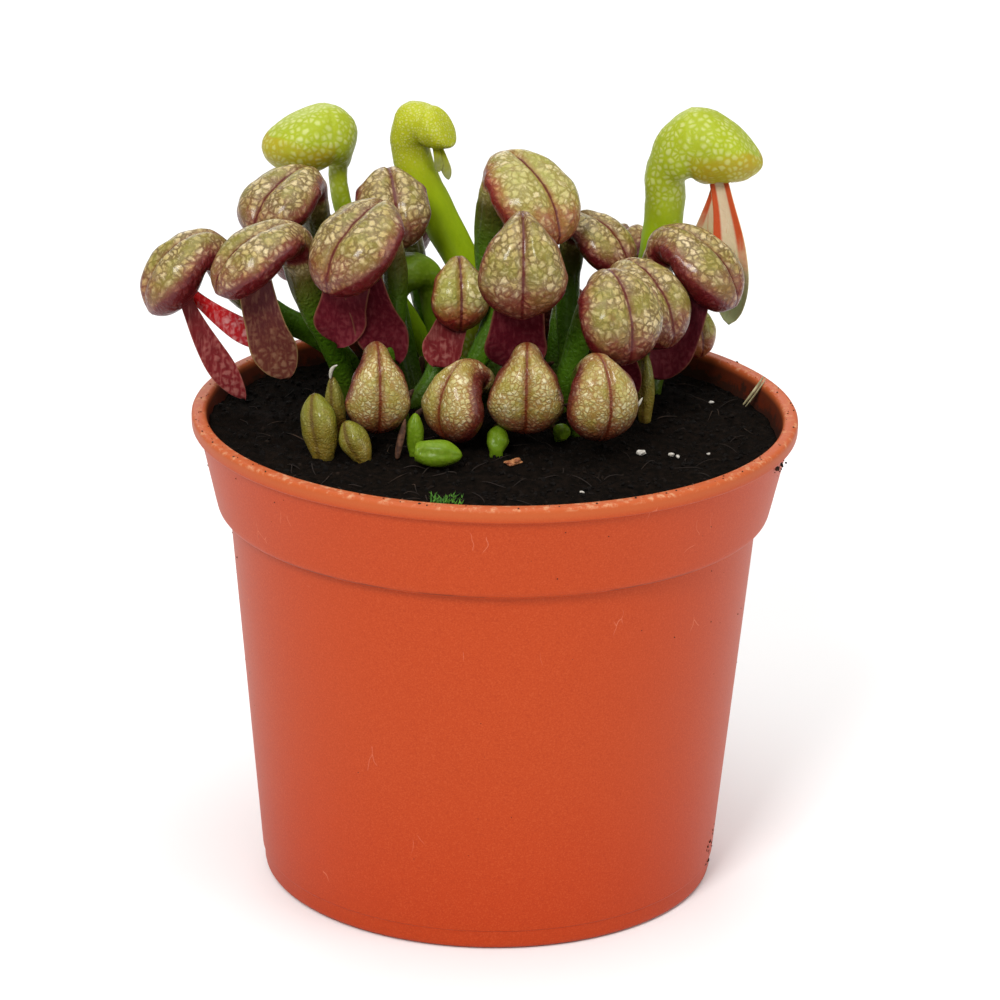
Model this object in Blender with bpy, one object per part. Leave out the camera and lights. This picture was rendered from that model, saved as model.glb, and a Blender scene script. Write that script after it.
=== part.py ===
"""Potted pitcher plant: a 9 cm plastic pot, its soil and crown, and one closed solid for each leaf."""

import math

import bmesh
import bpy
from mathutils import Vector

MM = 0.001
GAP = 0.3  # clearance between touching pieces, in mm

# Pot, in mm: a turned shell with a collar and a rolled lip.
POT_SEGMENTS = 48
BASE_RADIUS = 34.1
BODY_TOP = (39.4, 57.4)
COLLAR_FOOT = (41.3, 58.8)
COLLAR_TOP = (43.9, 70.1)
LIP_RADIUS = 45.0
POT_HEIGHT = 72.3
FLOOR = 1.4
INNER_WALL = ((32.8, FLOOR), (38.0, 56.0), (39.9, 59.2), (42.9, 71.8))  # radius and height, floor to lip
DRAIN_HOLES = 6
DRAIN_RADIUS = 3.0
DRAIN_SEGMENTS = 12
DRAIN_CIRCLE = 21.0
DRAIN_TURN = 0.06  # radians, so that no hole is centred on an edge of the floor

# Soil and crown, in mm.
SOIL_SEGMENTS = 40
SOIL_RINGS = (1.0, 0.94, 0.8, 0.62, 0.42, 0.2, 0.06)  # shares of the radius
SOIL_LEVEL = 68.3
SOIL_MOUND = 1.0
MOUND_WIDTH = 24.0
LEFT_BANK = 1.6
BANK_START = 22.0  # distance left of the axis
BANK_WIDTH = 20.0
BANK_CURVE = 1.5
CROWN_CENTRE = (1.0, 13.0)
CROWN_RADIUS = 16.0
CROWN_DEPTH = 12.5
CROWN_SEGMENTS = 24
CROWN_KNOBS = ((3, 1.6, 0.5), (7, 0.8, 1.1))  # waves round the crown, their height and their phase
CROWN_LAYERS = ((0.97, 0.16), (0.86, 0.5), (0.55, 0.85), (0.2, 1.0))  # shares of radius and depth
ROOTS = 5
ROOT_LENGTH = 26.0
ROOT_RADIUS = 1.7
ROOT_POINTS = 8
ROOT_STEPS = (0, 0.35, 0.7, 1.0)
ROOT_TURN = 0.3  # of a root's share of the circle
ROOT_TOP = 5.0  # below the soil
ROOT_SPREAD = 7.0
ROOT_TAPER = 0.7
POCKET_CLEARANCE = 0.6  # measured level, so the sloping sides lie nearer
POCKET_RISE = 4.0  # how far the pocket's cutter stands over the soil
ROOT_REACH = 8.0  # distance of the roots from the crown's centre

# Leaf shape, as shares of a hood's length. The fan turns about the mouth, from the tube over to the hood.
FAN_ANGLES = (0, 22, 45, 68, 90)
FAN_REACH = ((0, 0.37), (30, 0.43), (60, 0.48), (90, 0.50))
FAN_HALF_WIDTH = ((0, 0.19), (25, 0.25), (50, 0.335), (75, 0.41), (90, 0.435))
FAN_RIDGE = ((0, 0.0), (25, 0.25), (50, 0.50), (75, 0.35), (90, 0.2))
FAN_INNER = 0.045
TUBE_BLEND = 60  # degrees from the tube to where its own depth no longer tells
WIDTH_BLEND = 1.6  # how fast its own width fades out over the bend
POINTED_ANGLES = (56, 60)  # where a pointed hood stops narrowing, and where it starts to widen
POINTED_TURN = 1.6
POINTED_CREST = 0.3
HOOD_STEPS = (0.13, 0.27, 0.41, 0.52, 0.595, 0.632)
HOOD_TOP = (
    (0, 0.50), (0.15, 0.495), (0.30, 0.46), (0.43, 0.39), (0.54, 0.285), (0.605, 0.165), (0.635, 0.05))
HOOD_BOTTOM = (
    (0, 0.045), (0.12, -0.05), (0.28, -0.12), (0.43, -0.135), (0.54, -0.11), (0.605, -0.05), (0.635, 0.02))
HOOD_WIDTH = (
    (0, 0.435), (0.15, 0.465), (0.30, 0.46), (0.43, 0.405), (0.54, 0.31), (0.605, 0.18), (0.635, 0.06))
HOOD_RIDGE = ((0, 0.2), (0.15, 0.05), (0.3, -0.05), (0.63, 0.0))
HOOD_LENGTH = 0.635
RIDGE_SHARE = 0.8
POINTED_SHARE = 0.24  # how much a pointed hood narrows at its back
POINTED_SWELL = 0.1  # and how much it swells ahead
SWELL_START = 0.2
RING_POINTS = 12
TUBE_RINGS = 6
TUBE_LIFT = GAP + 0.05
BACK_LIMIT = 0.2  # a back that points further ahead than this is turned round

TAIL_RINGS = 7
TAIL_NECK = 0.2  # how far along the lobe its root tells
NECK_WIDENING = 0.22
TAIL_WIDTH = ((0.5, 0.9), (0.72, 1.0), (0.9, 0.66), (1.0, 0.14))  # beyond the neck
NARROW_ROOT = 0.42  # the root's width, as a share of the lobe's
TAIL_THICKNESS = (0.4, 0.22)  # at the root, and at least
TAIL_ROOT = (0.24, 0.02)  # ahead of and above the mouth
TAIL_BOW = 0.08

BUD_POINTS = 10
UPRIGHT = 0.6  # a bud steeper than this stands on a flat foot
BUD_STEPS = (0, 0.12, 0.28, 0.46, 0.64, 0.8, 0.92, 1.0)
BUD_RADIUS = ((0, 0.62), (0.15, 0.82), (0.4, 1.0), (0.65, 0.93), (0.85, 0.62), (0.96, 0.30), (1.0, 0.08))

# Colours as linear RGB, with roughness.
FINISHES = {
    "plastic": ((0.52, 0.10, 0.03), 0.42),
    "soil": ((0.012, 0.008, 0.006), 0.95),
    "crown": ((0.11, 0.06, 0.03), 0.85),
    "red_leaf": ((0.30, 0.16, 0.08), 0.30),
    "green_leaf": ((0.34, 0.52, 0.05), 0.35),
    "olive_leaf": ((0.22, 0.24, 0.05), 0.40),
    "moss": ((0.06, 0.16, 0.02), 0.95),
    "bark": ((0.30, 0.11, 0.04), 0.80),
    "straw": ((0.45, 0.36, 0.20), 0.75),
}

# Leaves with a hood, in mm and degrees. heading turns from +X, and pitch tips the hood's nose down.
LEAVES = {
    "hood_far_left": dict(
        foot=(-20.5, 19.5), mouth=(-44, 8, 90), heading=203, pitch=26, size=15.2, wide=0.78,
        high=0.86, droop=0.12,
        tails=(
            ((-37.5, 7, 70.5), 2.1, 265, 0, NARROW_ROOT),
            ((-32.5, 10, 77.5), 2.0, 250, 0, NARROW_ROOT),
        ),
    ),
    "hood_left": dict(
        foot=(-22, 14.5), mouth=(-32.5, 3, 93.5), heading=208, pitch=12, size=16.2, wide=0.78,
        high=0.72, droop=0.14,
        tails=(((-31, 5, 74.5), 3.5, 262, 0, 0.7),),
    ),
    "hood_upper_left": dict(
        foot=(-15, 18), mouth=(-30.5, 19, 98), heading=230, pitch=12, size=15.3, wide=0.88,
        high=0.72, point=0.6,
    ),
    "green_hood_left": dict(
        foot=(-9, 26), mouth=(-26.6, 31, 100.4), heading=200, pitch=-1, size=14.2, wide=0.9,
        high=1.4, droop=-0.33, crest=0.6, tube=0.85, finish="green_leaf",
        back=((0, 0.24), (30, 0.34), (60, 0.60), (90, 0.70)),
    ),
    "hood_centre_left": dict(
        foot=(-18.5, 6.5), mouth=(-18, 2, 96.5), heading=228, pitch=22, size=17.6, wide=0.87,
        high=0.76, tube=0.7,
        tails=(
            ((-23.6, 3, 80.6), 3.9, 265, 0, 0.8),
            ((-14.6, 4.6, 77.6), 3.8, 262, 0, 0.8),
        ),
    ),
    "hood_behind_left": dict(
        foot=(-12, 15), mouth=(-16.5, 18, 98.5), heading=282, pitch=36, size=13.0, wide=0.94,
        high=0.84,
    ),
    "green_hood_slim": dict(
        foot=(4, 21), mouth=(-11, 28.2, 104.8), heading=330, pitch=0, size=6.8, wide=1.1,
        high=1.84, droop=-0.1, deep=0.5, crest=0.1, tube=2.5, flare=0.6, base=2.2, reach=(0.3, 0.15),
        finish="green_leaf", back=((0, 0.86), (30, 0.95), (60, 1.08), (90, 0.92)),
        tails=(
            ((-7.7, 27, 99.8), 0.8, 262, 0.06, 0.7),
            ((-9.2, 27, 101), 0.7, 280, -0.06, 0.7),
        ),
    ),
    "hood_top": dict(
        foot=(0, 15), mouth=(2.5, 16.5, 100.5), heading=312, pitch=24, size=17.2, wide=0.92,
        high=0.76,
    ),
    "hood_centre": dict(
        foot=(-8, 6), mouth=(3.5, -1, 96.3), heading=272, pitch=55, size=15.2, wide=0.89, point=1.0,
        rise=50,
        tails=(((2.6, 1, 77.5), 4.6, 268, 0, 0.7),),
    ),
    "hood_small_centre": dict(
        foot=(-13, 8.5), mouth=(-5.8, 7.3, 88.8), heading=276, pitch=52, size=10.8, wide=0.85,
        point=0.6, rise=40,
        tails=(((-9.2, 4, 77.2), 3.0, 265, 0, 0.7),),
    ),
    "hood_upper_right": dict(
        foot=(11, 19), mouth=(13.7, 22.5, 91.5), heading=322, pitch=16, size=12.5, wide=0.87,
        high=0.76,
    ),
    "hood_right_rear": dict(
        foot=(15, 11), mouth=(20.3, 11.5, 86), heading=318, pitch=32, size=14.9, wide=0.98,
        high=0.84,
    ),
    "hood_right_front": dict(
        foot=(9, 6), mouth=(16.5, 0, 88), heading=298, pitch=46, size=14.1, high=0.92,
        tails=(((20, 4, 73), 2.2, 275, 0, NARROW_ROOT),),
    ),
    "hood_far_right": dict(
        foot=(21, 16), mouth=(27.7, 19.4, 89), heading=332, pitch=22, size=16.5, wide=0.83,
        high=0.75,
        tails=(((24, 14, 72.6), 3.2, 265, 0, 0.6),),
    ),
    "green_hood_tall": dict(
        foot=(18, 27), mouth=(29.9, 29, 99.7), heading=350, pitch=-5, size=15.8, wide=0.84,
        high=1.44, droop=-0.2, deep=0.55, crest=0.5, inner=0.1, tube=1.7, flare=0.6, base=2.4,
        finish="green_leaf", back=((0, 0.49), (30, 0.50), (60, 0.60), (90, 0.72)),
        tails=(
            ((35.8, 25.5, 78), 3.0, 250, -0.05, 0.5),
            ((30, 29.5, 86), 1.9, 262, 0.06, 0.5),
        ),
    ),
    "front_hood_1": dict(
        foot=(-14, 0), mouth=(-17.5, -8, 79.5), heading=278, pitch=72, size=13.2, wide=0.74,
        point=1.0,
    ),
    "front_hood_2": dict(
        foot=(-5, -2), mouth=(-3.6, -8.6, 77.4), heading=224, pitch=56, size=12.2, wide=0.9,
        point=1.0,
    ),
    "front_hood_3": dict(
        foot=(4, -1), mouth=(4.5, -8, 79.8), heading=270, pitch=72, size=13.1, wide=0.88, point=1.0,
    ),
    "front_hood_4": dict(
        foot=(12, -3), mouth=(14.5, -9.5, 79), heading=292, pitch=68, size=12.5, wide=0.92,
        point=0.4,
    ),
    "green_hood_low": dict(
        foot=(-2.5, 17.5), mouth=(-12.6, 13.8, 86.2), heading=184, pitch=12, size=12.2, wide=0.8,
        high=0.95, rise=35, finish="green_leaf",
    ),
    "hood_rim_right": dict(
        foot=(24, 21), mouth=(28.8, 26, 77.5), heading=305, pitch=36, size=9.2, wide=0.85, high=0.9,
        reach=(0.5, 0.38),
    ),
    "rear_hood_1": dict(
        foot=(-16, 23), mouth=(-27, 34, 86), heading=140, pitch=30, size=14.0, wide=0.85, high=0.85,
        tails=(((-27.5, 35.5, 74.5), 2.3, 120, 0, NARROW_ROOT),),
    ),
    "rear_hood_2": dict(
        foot=(-8, 30), mouth=(-14.5, 37, 88), heading=105, pitch=34, size=13.0, wide=0.9, high=0.85,
        point=0.5,
    ),
    "rear_hood_3": dict(
        foot=(4, 25.5), mouth=(6, 35, 94), heading=84, pitch=34, size=14.5, wide=0.9, high=0.85,
        point=0.5,
        tails=(((6.3, 37, 80.5), 2.6, 88, 0, NARROW_ROOT),),
    ),
    "rear_hood_4": dict(
        foot=(17, 32), mouth=(20, 39, 84), heading=70, pitch=40, size=13.0, wide=0.9, high=0.9,
    ),
    "rear_hood_5": dict(
        foot=(0.5, 29.5), mouth=(-2.2, 35, 77), heading=98, pitch=64, size=11.5, wide=0.9,
        point=1.0,
    ),
    "rear_hood_6": dict(
        foot=(9, 27), mouth=(10.5, 33, 77.5), heading=84, pitch=66, size=11.0, wide=0.88, point=1.0,
    ),
}
LEAF_DEFAULTS = dict(
    wide=1.0, high=1.0, tube=1.0, base=1.5, rise=70, reach=(0.38, 0.38), droop=0.1, flare=1.2,
    point=0.0, back=(), crest=1.0, deep=1.0, inner=FAN_INNER, finish="red_leaf", tails=(),
)

# Young leaves with no hood yet, in mm.
BUDS = {
    "young_leaf_1": dict(foot=(-24.9, -13), tip=(-26.4, -10.5, 77.6), thick=5.4, finish="olive_leaf"),
    "young_leaf_2": dict(foot=(-19.0, -14.9), tip=(-21.8, -13.6, 74.4), thick=4.2, finish="olive_leaf"),
    "young_leaf_3": dict(foot=(-23, -6), tip=(-24, -5.6, 78.6), thick=3.0, finish="olive_leaf"),
    "young_leaf_4": dict(
        foot=(-11.6, -17.3), tip=(-4.6, -18, 70.9), thick=4.0, finish="green_leaf", lift=2.4
    ),
    "young_leaf_5": dict(foot=(-11.6, -12.6), tip=(-11.6, -12.4, 75.4), thick=2.6, finish="green_leaf"),
    "young_leaf_6": dict(
        foot=(0.3, -12.6), tip=(0.6, -9.8, 72.8), thick=3.2, finish="green_leaf", lift=0.7
    ),
    "young_leaf_7": dict(
        foot=(9.6, -5.2), tip=(10.2, -7.4, 71.8), thick=2.6, finish="green_leaf", lift=0.8
    ),
    "young_leaf_8": dict(foot=(22.5, 6), tip=(22.2, 8, 79), thick=3.0, finish="olive_leaf"),
    "young_leaf_9": dict(foot=(-5, 25.5), tip=(-2, 31, 90), thick=3.0, finish="green_leaf"),
}

BARK_CHIP = ((2.8, -16.1), (2.6, 1.6, 0.8))  # place, and size
MOSS_TUFT = ((-6.6, -32.0), (7.0, 3.0, 1.0))
LITTER_LIFT = GAP + 0.1
STRAW = ((37.6, 13.0, 69.2), (40.6, 14.2, 73.4), 0.35)  # foot, tip and radius
STRAW_POINTS = 6


def clear_scene():
    for obj in list(bpy.data.objects):
        bpy.data.objects.remove(obj, do_unlink=True)


def finish(name):
    """The finish's material, made the first time it is asked for."""
    if name in bpy.data.materials:
        return bpy.data.materials[name]
    colour, roughness = FINISHES[name]
    material = bpy.data.materials.new(name)
    material.use_nodes = True
    shader = material.node_tree.nodes["Principled BSDF"]
    shader.inputs["Base Color"].default_value = (*colour, 1.0)
    shader.inputs["Roughness"].default_value = roughness
    material.diffuse_color = (*colour, 1.0)
    return material


def add_object(name, mesh_builder, finish_name):
    """A new object in the scene from a bmesh in mm."""
    mesh = bpy.data.meshes.new(name)
    bmesh.ops.scale(mesh_builder, vec=(MM, MM, MM), verts=mesh_builder.verts)
    bmesh.ops.recalc_face_normals(mesh_builder, faces=mesh_builder.faces)
    mesh_builder.to_mesh(mesh)
    mesh_builder.free()
    obj = bpy.data.objects.new(name, mesh)
    bpy.context.collection.objects.link(obj)
    mesh.materials.append(finish(finish_name))
    return obj


def hide_cutter(obj):
    obj.hide_render = True
    obj.display_type = "WIRE"


def add_boolean(obj, other, operation):
    modifier = obj.modifiers.new(other.name, "BOOLEAN")
    modifier.operation = operation
    modifier.object = other
    hide_cutter(other)


def curve_at(pairs, x):
    """The smooth curve through the pairs, at x."""
    last = len(pairs) - 1
    i = 0
    while i < last - 1 and pairs[i + 1][0] <= x:
        i += 1

    def slope(k):
        a, b = pairs[max(k - 1, 0)], pairs[min(k + 1, last)]
        return (b[1] - a[1]) / (b[0] - a[0])

    width = pairs[i + 1][0] - pairs[i][0]
    t = (x - pairs[i][0]) / width
    return (
        (2 * t**3 - 3 * t**2 + 1) * pairs[i][1]
        + (t**3 - 2 * t**2 + t) * width * slope(i)
        + (3 * t**2 - 2 * t**3) * pairs[i + 1][1]
        + (t**3 - t**2) * width * slope(i + 1)
    )


def loft(mesh_builder, rings):
    """Closed skin over a list of rings of points, with a flat cap at each end."""
    loops = [[mesh_builder.verts.new(point) for point in ring] for ring in rings]
    count = len(loops[0])
    for lower, upper in zip(loops, loops[1:]):
        for i in range(count):
            j = (i + 1) % count
            mesh_builder.faces.new((lower[i], lower[j], upper[j], upper[i]))
    mesh_builder.faces.new(loops[0])
    mesh_builder.faces.new(loops[-1])


def spin_profile(profile, segments):
    """A turned solid: the profile starts and ends on the axis."""
    builder = bmesh.new()
    ends = [builder.verts.new((0, 0, profile[0][1])), builder.verts.new((0, 0, profile[-1][1]))]
    loops = []
    for radius, height in profile[1:-1]:
        loop = []
        for i in range(segments):
            angle = math.tau * i / segments
            loop.append(builder.verts.new((radius * math.cos(angle), radius * math.sin(angle), height)))
        loops.append(loop)
    for i in range(segments):
        j = (i + 1) % segments
        builder.faces.new((ends[0], loops[0][j], loops[0][i]))
        builder.faces.new((ends[1], loops[-1][i], loops[-1][j]))
        for lower, upper in zip(loops, loops[1:]):
            builder.faces.new((lower[i], lower[j], upper[j], upper[i]))
    return builder


def inner_radius(height):
    """The pot's inner wall, straight between its corners."""
    for (r0, z0), (r1, z1) in zip(INNER_WALL, INNER_WALL[1:]):
        if height <= z1:
            break
    return r0 + (r1 - r0) * (height - z0) / (z1 - z0)


def soil_height(x, y):
    """The soil's surface: a low mound at the middle and a bank against the left of the wall."""
    mound = SOIL_MOUND * math.exp(-(math.hypot(x, y) / MOUND_WIDTH) ** 2)
    bank = LEFT_BANK * min(max((-x - BANK_START) / BANK_WIDTH, 0), 1) ** BANK_CURVE
    return SOIL_LEVEL + mound + bank


def build_pot():
    profile = [
        (0, 0),
        (BASE_RADIUS - 0.9, 0),
        (BASE_RADIUS - 0.25, 0.25),
        (BASE_RADIUS, 0.9),
        (BASE_RADIUS + 0.25, 3.0),
        (BODY_TOP[0] - 0.05, BODY_TOP[1] - 0.6),
        BODY_TOP,
        (COLLAR_FOOT[0] - 0.5, COLLAR_FOOT[1] - 0.85),
        COLLAR_FOOT,
        COLLAR_TOP,
        (LIP_RADIUS - 0.25, COLLAR_TOP[1] + 0.15),
        (LIP_RADIUS, COLLAR_TOP[1] + 0.7),
        (LIP_RADIUS, POT_HEIGHT - 0.6),
        (LIP_RADIUS - 0.5, POT_HEIGHT),
        (INNER_WALL[-1][0] + 0.5, POT_HEIGHT),
        *reversed(INNER_WALL),
        (0, FLOOR),
    ]
    pot = add_object("pot", spin_profile(profile, POT_SEGMENTS), "plastic")
    for i in range(DRAIN_HOLES):
        angle = math.tau * i / DRAIN_HOLES + DRAIN_TURN
        bpy.ops.mesh.primitive_cylinder_add(
            vertices=DRAIN_SEGMENTS,
            radius=DRAIN_RADIUS * MM,
            depth=4 * FLOOR * MM,
            location=(
                DRAIN_CIRCLE * MM * math.cos(angle),
                DRAIN_CIRCLE * MM * math.sin(angle),
                FLOOR * MM / 2,
            ),
        )
        hole = bpy.context.object
        hole.name = f"drain_cutter_{i + 1}"
        add_boolean(pot, hole, "DIFFERENCE")


def crown_radius(angle):
    """The crown's knobbly outline."""
    knobs = sum(height * math.sin(waves * angle + phase) for waves, height, phase in CROWN_KNOBS)
    return CROWN_RADIUS + knobs


def crown_solid(name, clearance, top_lift):
    """The crown, or with a clearance the pocket that it lies in."""
    cx, cy = CROWN_CENTRE
    layers = [(share, part * CROWN_DEPTH) for share, part in CROWN_LAYERS]
    rings = []
    for share, depth in ((1.0, -top_lift), *layers):
        ring = []
        for i in range(CROWN_SEGMENTS):
            angle = math.tau * i / CROWN_SEGMENTS
            radius = share * crown_radius(angle) + clearance
            x, y = cx + radius * math.cos(angle), cy + radius * math.sin(angle)
            sink = clearance if depth > 0 else 0
            ring.append((x, y, soil_height(x, y) - depth - sink))
        rings.append(ring)
    builder = bmesh.new()
    loft(builder, rings)
    crown = add_object(name, builder, "crown")
    for i in range(ROOTS):
        angle = math.tau * (i + ROOT_TURN) / ROOTS
        dx, dy = math.cos(angle), math.sin(angle)
        rings = []
        for share in ROOT_STEPS:
            away = ROOT_REACH + ROOT_SPREAD * share**2
            centre = (cx + away * dx, cy + away * dy)
            radius = ROOT_RADIUS * (1 - ROOT_TAPER * share) + clearance
            level = SOIL_LEVEL - ROOT_TOP - share * (ROOT_LENGTH + clearance)
            rings.append([
                (centre[0] + radius * math.cos(a), centre[1] + radius * math.sin(a), level)
                for a in (math.tau * k / ROOT_POINTS for k in range(ROOT_POINTS))
            ])
        builder = bmesh.new()
        loft(builder, rings)
        add_boolean(crown, add_object(f"{name}_root_{i + 1}", builder, "crown"), "UNION")
    return crown


def build_soil_and_crown():
    bottom = FLOOR + GAP
    wall = [(inner_radius(z) - GAP, z) for z in (bottom, INNER_WALL[1][1], INNER_WALL[2][1])]
    rings = []
    for radius, height in wall:
        rings.append([(radius * math.cos(a), radius * math.sin(a), height) for a in soil_angles()])
    for share in SOIL_RINGS:
        ring = []
        for angle in soil_angles():
            edge = inner_radius(SOIL_LEVEL) - GAP
            level = soil_height(edge * math.cos(angle), edge * math.sin(angle))
            radius = share * (inner_radius(level) - GAP)
            x, y = radius * math.cos(angle), radius * math.sin(angle)
            ring.append((x, y, soil_height(x, y)))
        rings.append(ring)
    builder = bmesh.new()
    loft(builder, rings)
    soil = add_object("soil", builder, "soil")
    add_boolean(soil, crown_solid("crown_pocket", POCKET_CLEARANCE, POCKET_RISE), "DIFFERENCE")
    crown_solid("crown", 0.0, 0.0)


def soil_angles():
    return [math.tau * i / SOIL_SEGMENTS for i in range(SOIL_SEGMENTS)]


def hood_axes(leaf):
    """Unit vectors ahead, up and sideways of a hood."""
    turn, tip = math.radians(leaf["heading"]), math.radians(leaf["pitch"])
    ahead = Vector((math.cos(turn) * math.cos(tip), math.sin(turn) * math.cos(tip), -math.sin(tip)))
    up = Vector((math.cos(turn) * math.sin(tip), math.sin(turn) * math.sin(tip), math.cos(tip)))
    return ahead, up, up.cross(ahead)


def section(centre, radial, side, half_height, half_width, ridge):
    """A ring of points: an ellipse, narrower towards its outer side where it has a ridge."""
    ring = []
    for i in range(RING_POINTS):
        angle = math.tau * i / RING_POINTS
        width = half_width * math.sin(angle) * (1 - ridge * RIDGE_SHARE * math.cos(angle))
        ring.append(centre + radial * (half_height * math.cos(angle)) + side * width)
    return ring


def fan_section(leaf, angle):
    ahead, up, side = hood_axes(leaf)
    size = leaf["size"]
    radians = math.radians(angle)
    height = 1 + (leaf["high"] - 1) * math.sin(radians) ** 2
    tube = leaf["tube"] + (1 - leaf["tube"]) * min(angle, TUBE_BLEND) / TUBE_BLEND
    broad = 1 + (leaf["tube"] - 1) * (1 - angle / 90) ** WIDTH_BLEND
    inner = (leaf["inner"] + (FAN_INNER - leaf["inner"]) * angle / 90) * size
    outer = inner + (curve_at(FAN_REACH, angle) * size * height - inner) * tube
    if leaf["back"]:
        outer = curve_at(leaf["back"], angle) * size
    narrowing = math.sin(math.radians(angle * POINTED_TURN)) if angle < POINTED_ANGLES[0] else 1.0
    narrowing *= 1.0 if angle < POINTED_ANGLES[1] else 2 - angle / POINTED_ANGLES[1]
    width = curve_at(FAN_HALF_WIDTH, angle) * size * leaf["wide"] * broad
    width *= 1 - POINTED_SHARE * leaf["point"] * narrowing
    ridge = curve_at(FAN_RIDGE, angle) * (1 + POINTED_CREST * leaf["point"]) * leaf["crest"]
    radial = up * math.sin(radians) - ahead * math.cos(radians)
    centre = Vector(leaf["mouth"]) + radial * (outer + inner) / 2
    return section(centre, radial, side, (outer - inner) / 2, width, ridge)


def hood_section(leaf, step):
    ahead, up, side = hood_axes(leaf)
    size = leaf["size"]
    drop = leaf["droop"] * (step / HOOD_LENGTH) ** 2 * size
    top = curve_at(HOOD_TOP, step) * size * leaf["high"] - drop
    bottom = curve_at(HOOD_BOTTOM, step)
    bottom = bottom * size * (leaf["deep"] if bottom < 0 else 1) - drop
    width = curve_at(HOOD_WIDTH, step) * size * leaf["wide"]
    if step < SWELL_START:
        width *= 1 - POINTED_SHARE / 2 * leaf["point"] * (1 - step / SWELL_START)
    else:
        ahead_share = (step - SWELL_START) / (HOOD_LENGTH - SWELL_START)
        width *= 1 + POINTED_SWELL * leaf["point"] * math.sin(math.pi * ahead_share)
    tilt = math.atan(2 * leaf["droop"] * step / HOOD_LENGTH**2)
    radial = up * math.cos(tilt) + ahead * math.sin(tilt)
    centre = Vector(leaf["mouth"]) + ahead * (step * size) + up * (top + bottom) / 2
    return section(centre, radial, side, (top - bottom) / 2, width, curve_at(HOOD_RIDGE, step))


def tube_sections(leaf, first):
    """Rings from the foot, flat on the ground, up to the hood's first ring."""
    ahead, up, side = hood_axes(leaf)
    top = (first[0] + first[RING_POINTS // 2]) / 2
    top_half = (first[0] - first[RING_POINTS // 2]).length / 2
    top_width = curve_at(FAN_HALF_WIDTH, 0) * leaf["size"] * leaf["wide"] * leaf["tube"]
    x, y = leaf["foot"]
    foot = Vector((x, y, soil_height(x, y) + TUBE_LIFT))
    span = (top - foot).length
    out = (top - foot) * Vector((1, 1, 0))
    rise = math.radians(leaf["rise"])
    leaving = out.normalized() * math.cos(rise) + Vector((0, 0, math.sin(rise)))
    start = foot + leaving * span * leaf["reach"][0]
    end = top - up * span * leaf["reach"][1]
    rings = []
    for i in range(TUBE_RINGS):
        t = i / TUBE_RINGS
        centre = bezier(foot, start, end, top, t)
        along = (bezier(foot, start, end, top, t + 0.001) - centre).normalized() if i else Vector((0, 0, 1))
        across = (side - along * side.dot(along)).normalized()
        back = along.cross(across)
        if back.dot(ahead) > BACK_LIMIT:
            back = -back
        share = t ** leaf["flare"]
        half = leaf["base"] + (top_half - leaf["base"]) * share
        width = leaf["base"] + (top_width - leaf["base"]) * share
        rings.append(section(centre, back, across, half, width, 0.0))
    return rings


def bezier(a, b, c, d, t):
    return a * (1 - t) ** 3 + b * (3 * (1 - t) ** 2 * t) + c * (3 * (1 - t) * t**2) + d * t**3


def tail_sections(leaf, tail):
    """Rings of one lobe of the leaf's tail: a thin blade from the mouth to its tip."""
    tip, half_width, face, shift, root_width = tail
    neck_width = root_width + (1 - root_width) * NECK_WIDENING
    widths = ((0, root_width), (TAIL_NECK, neck_width), *TAIL_WIDTH)
    ahead, up, side = hood_axes(leaf)
    size = leaf["size"]
    tip = Vector(tip)
    root = Vector(leaf["mouth"]) + (ahead * TAIL_ROOT[0] + up * TAIL_ROOT[1] + side * shift) * size
    middle = (root + tip) / 2 + ahead * (TAIL_BOW * (tip - root).length)
    facing = Vector((math.cos(math.radians(face)), math.sin(math.radians(face)), 0))
    rings = []
    for i in range(TAIL_RINGS):
        t = i / (TAIL_RINGS - 1)
        centre = root * (1 - t) ** 2 + middle * (2 * (1 - t) * t) + tip * t**2
        along = (root * (2 * t - 2) + middle * (2 - 4 * t) + tip * (2 * t)).normalized()
        across = along.cross(facing).normalized()
        through = across.cross(along)
        wide = half_width * curve_at(widths, t)
        thick = max(TAIL_THICKNESS[1], TAIL_THICKNESS[0] * (1 - t))
        offsets = (across * wide, through * thick, across * -wide, through * -thick)
        rings.append([centre + offset for offset in offsets])
    return rings


def build_leaf(name, values):
    leaf = {**LEAF_DEFAULTS, **values}
    rings = [fan_section(leaf, angle) for angle in FAN_ANGLES]
    rings = tube_sections(leaf, rings[0]) + rings + [hood_section(leaf, step) for step in HOOD_STEPS]
    builder = bmesh.new()
    loft(builder, rings)
    obj = add_object(name, builder, leaf["finish"])
    for i, tail in enumerate(leaf["tails"]):
        builder = bmesh.new()
        loft(builder, tail_sections(leaf, tail))
        add_boolean(obj, add_object(f"{name}_tail_{i + 1}", builder, leaf["finish"]), "UNION")


def build_bud(name, values):
    x, y = values["foot"]
    foot = Vector((x, y, soil_height(x, y) + values.get("lift", TUBE_LIFT)))
    tip = Vector(values["tip"])
    along = (tip - foot).normalized()
    across = Vector((0, 1, 0)).cross(along).normalized()
    through = along.cross(across)
    rings = []
    for share in BUD_STEPS:
        radius = values["thick"] / 2 * curve_at(BUD_RADIUS, share)
        ring = []
        for i in range(BUD_POINTS):
            angle = math.tau * i / BUD_POINTS
            offset = (across * math.cos(angle) + through * math.sin(angle)) * radius
            if share == 0 and along.z > UPRIGHT:
                offset.z = 0
            ring.append(foot.lerp(tip, share) + offset)
        rings.append(ring)
    builder = bmesh.new()
    loft(builder, rings)
    add_object(name, builder, values["finish"])


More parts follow.
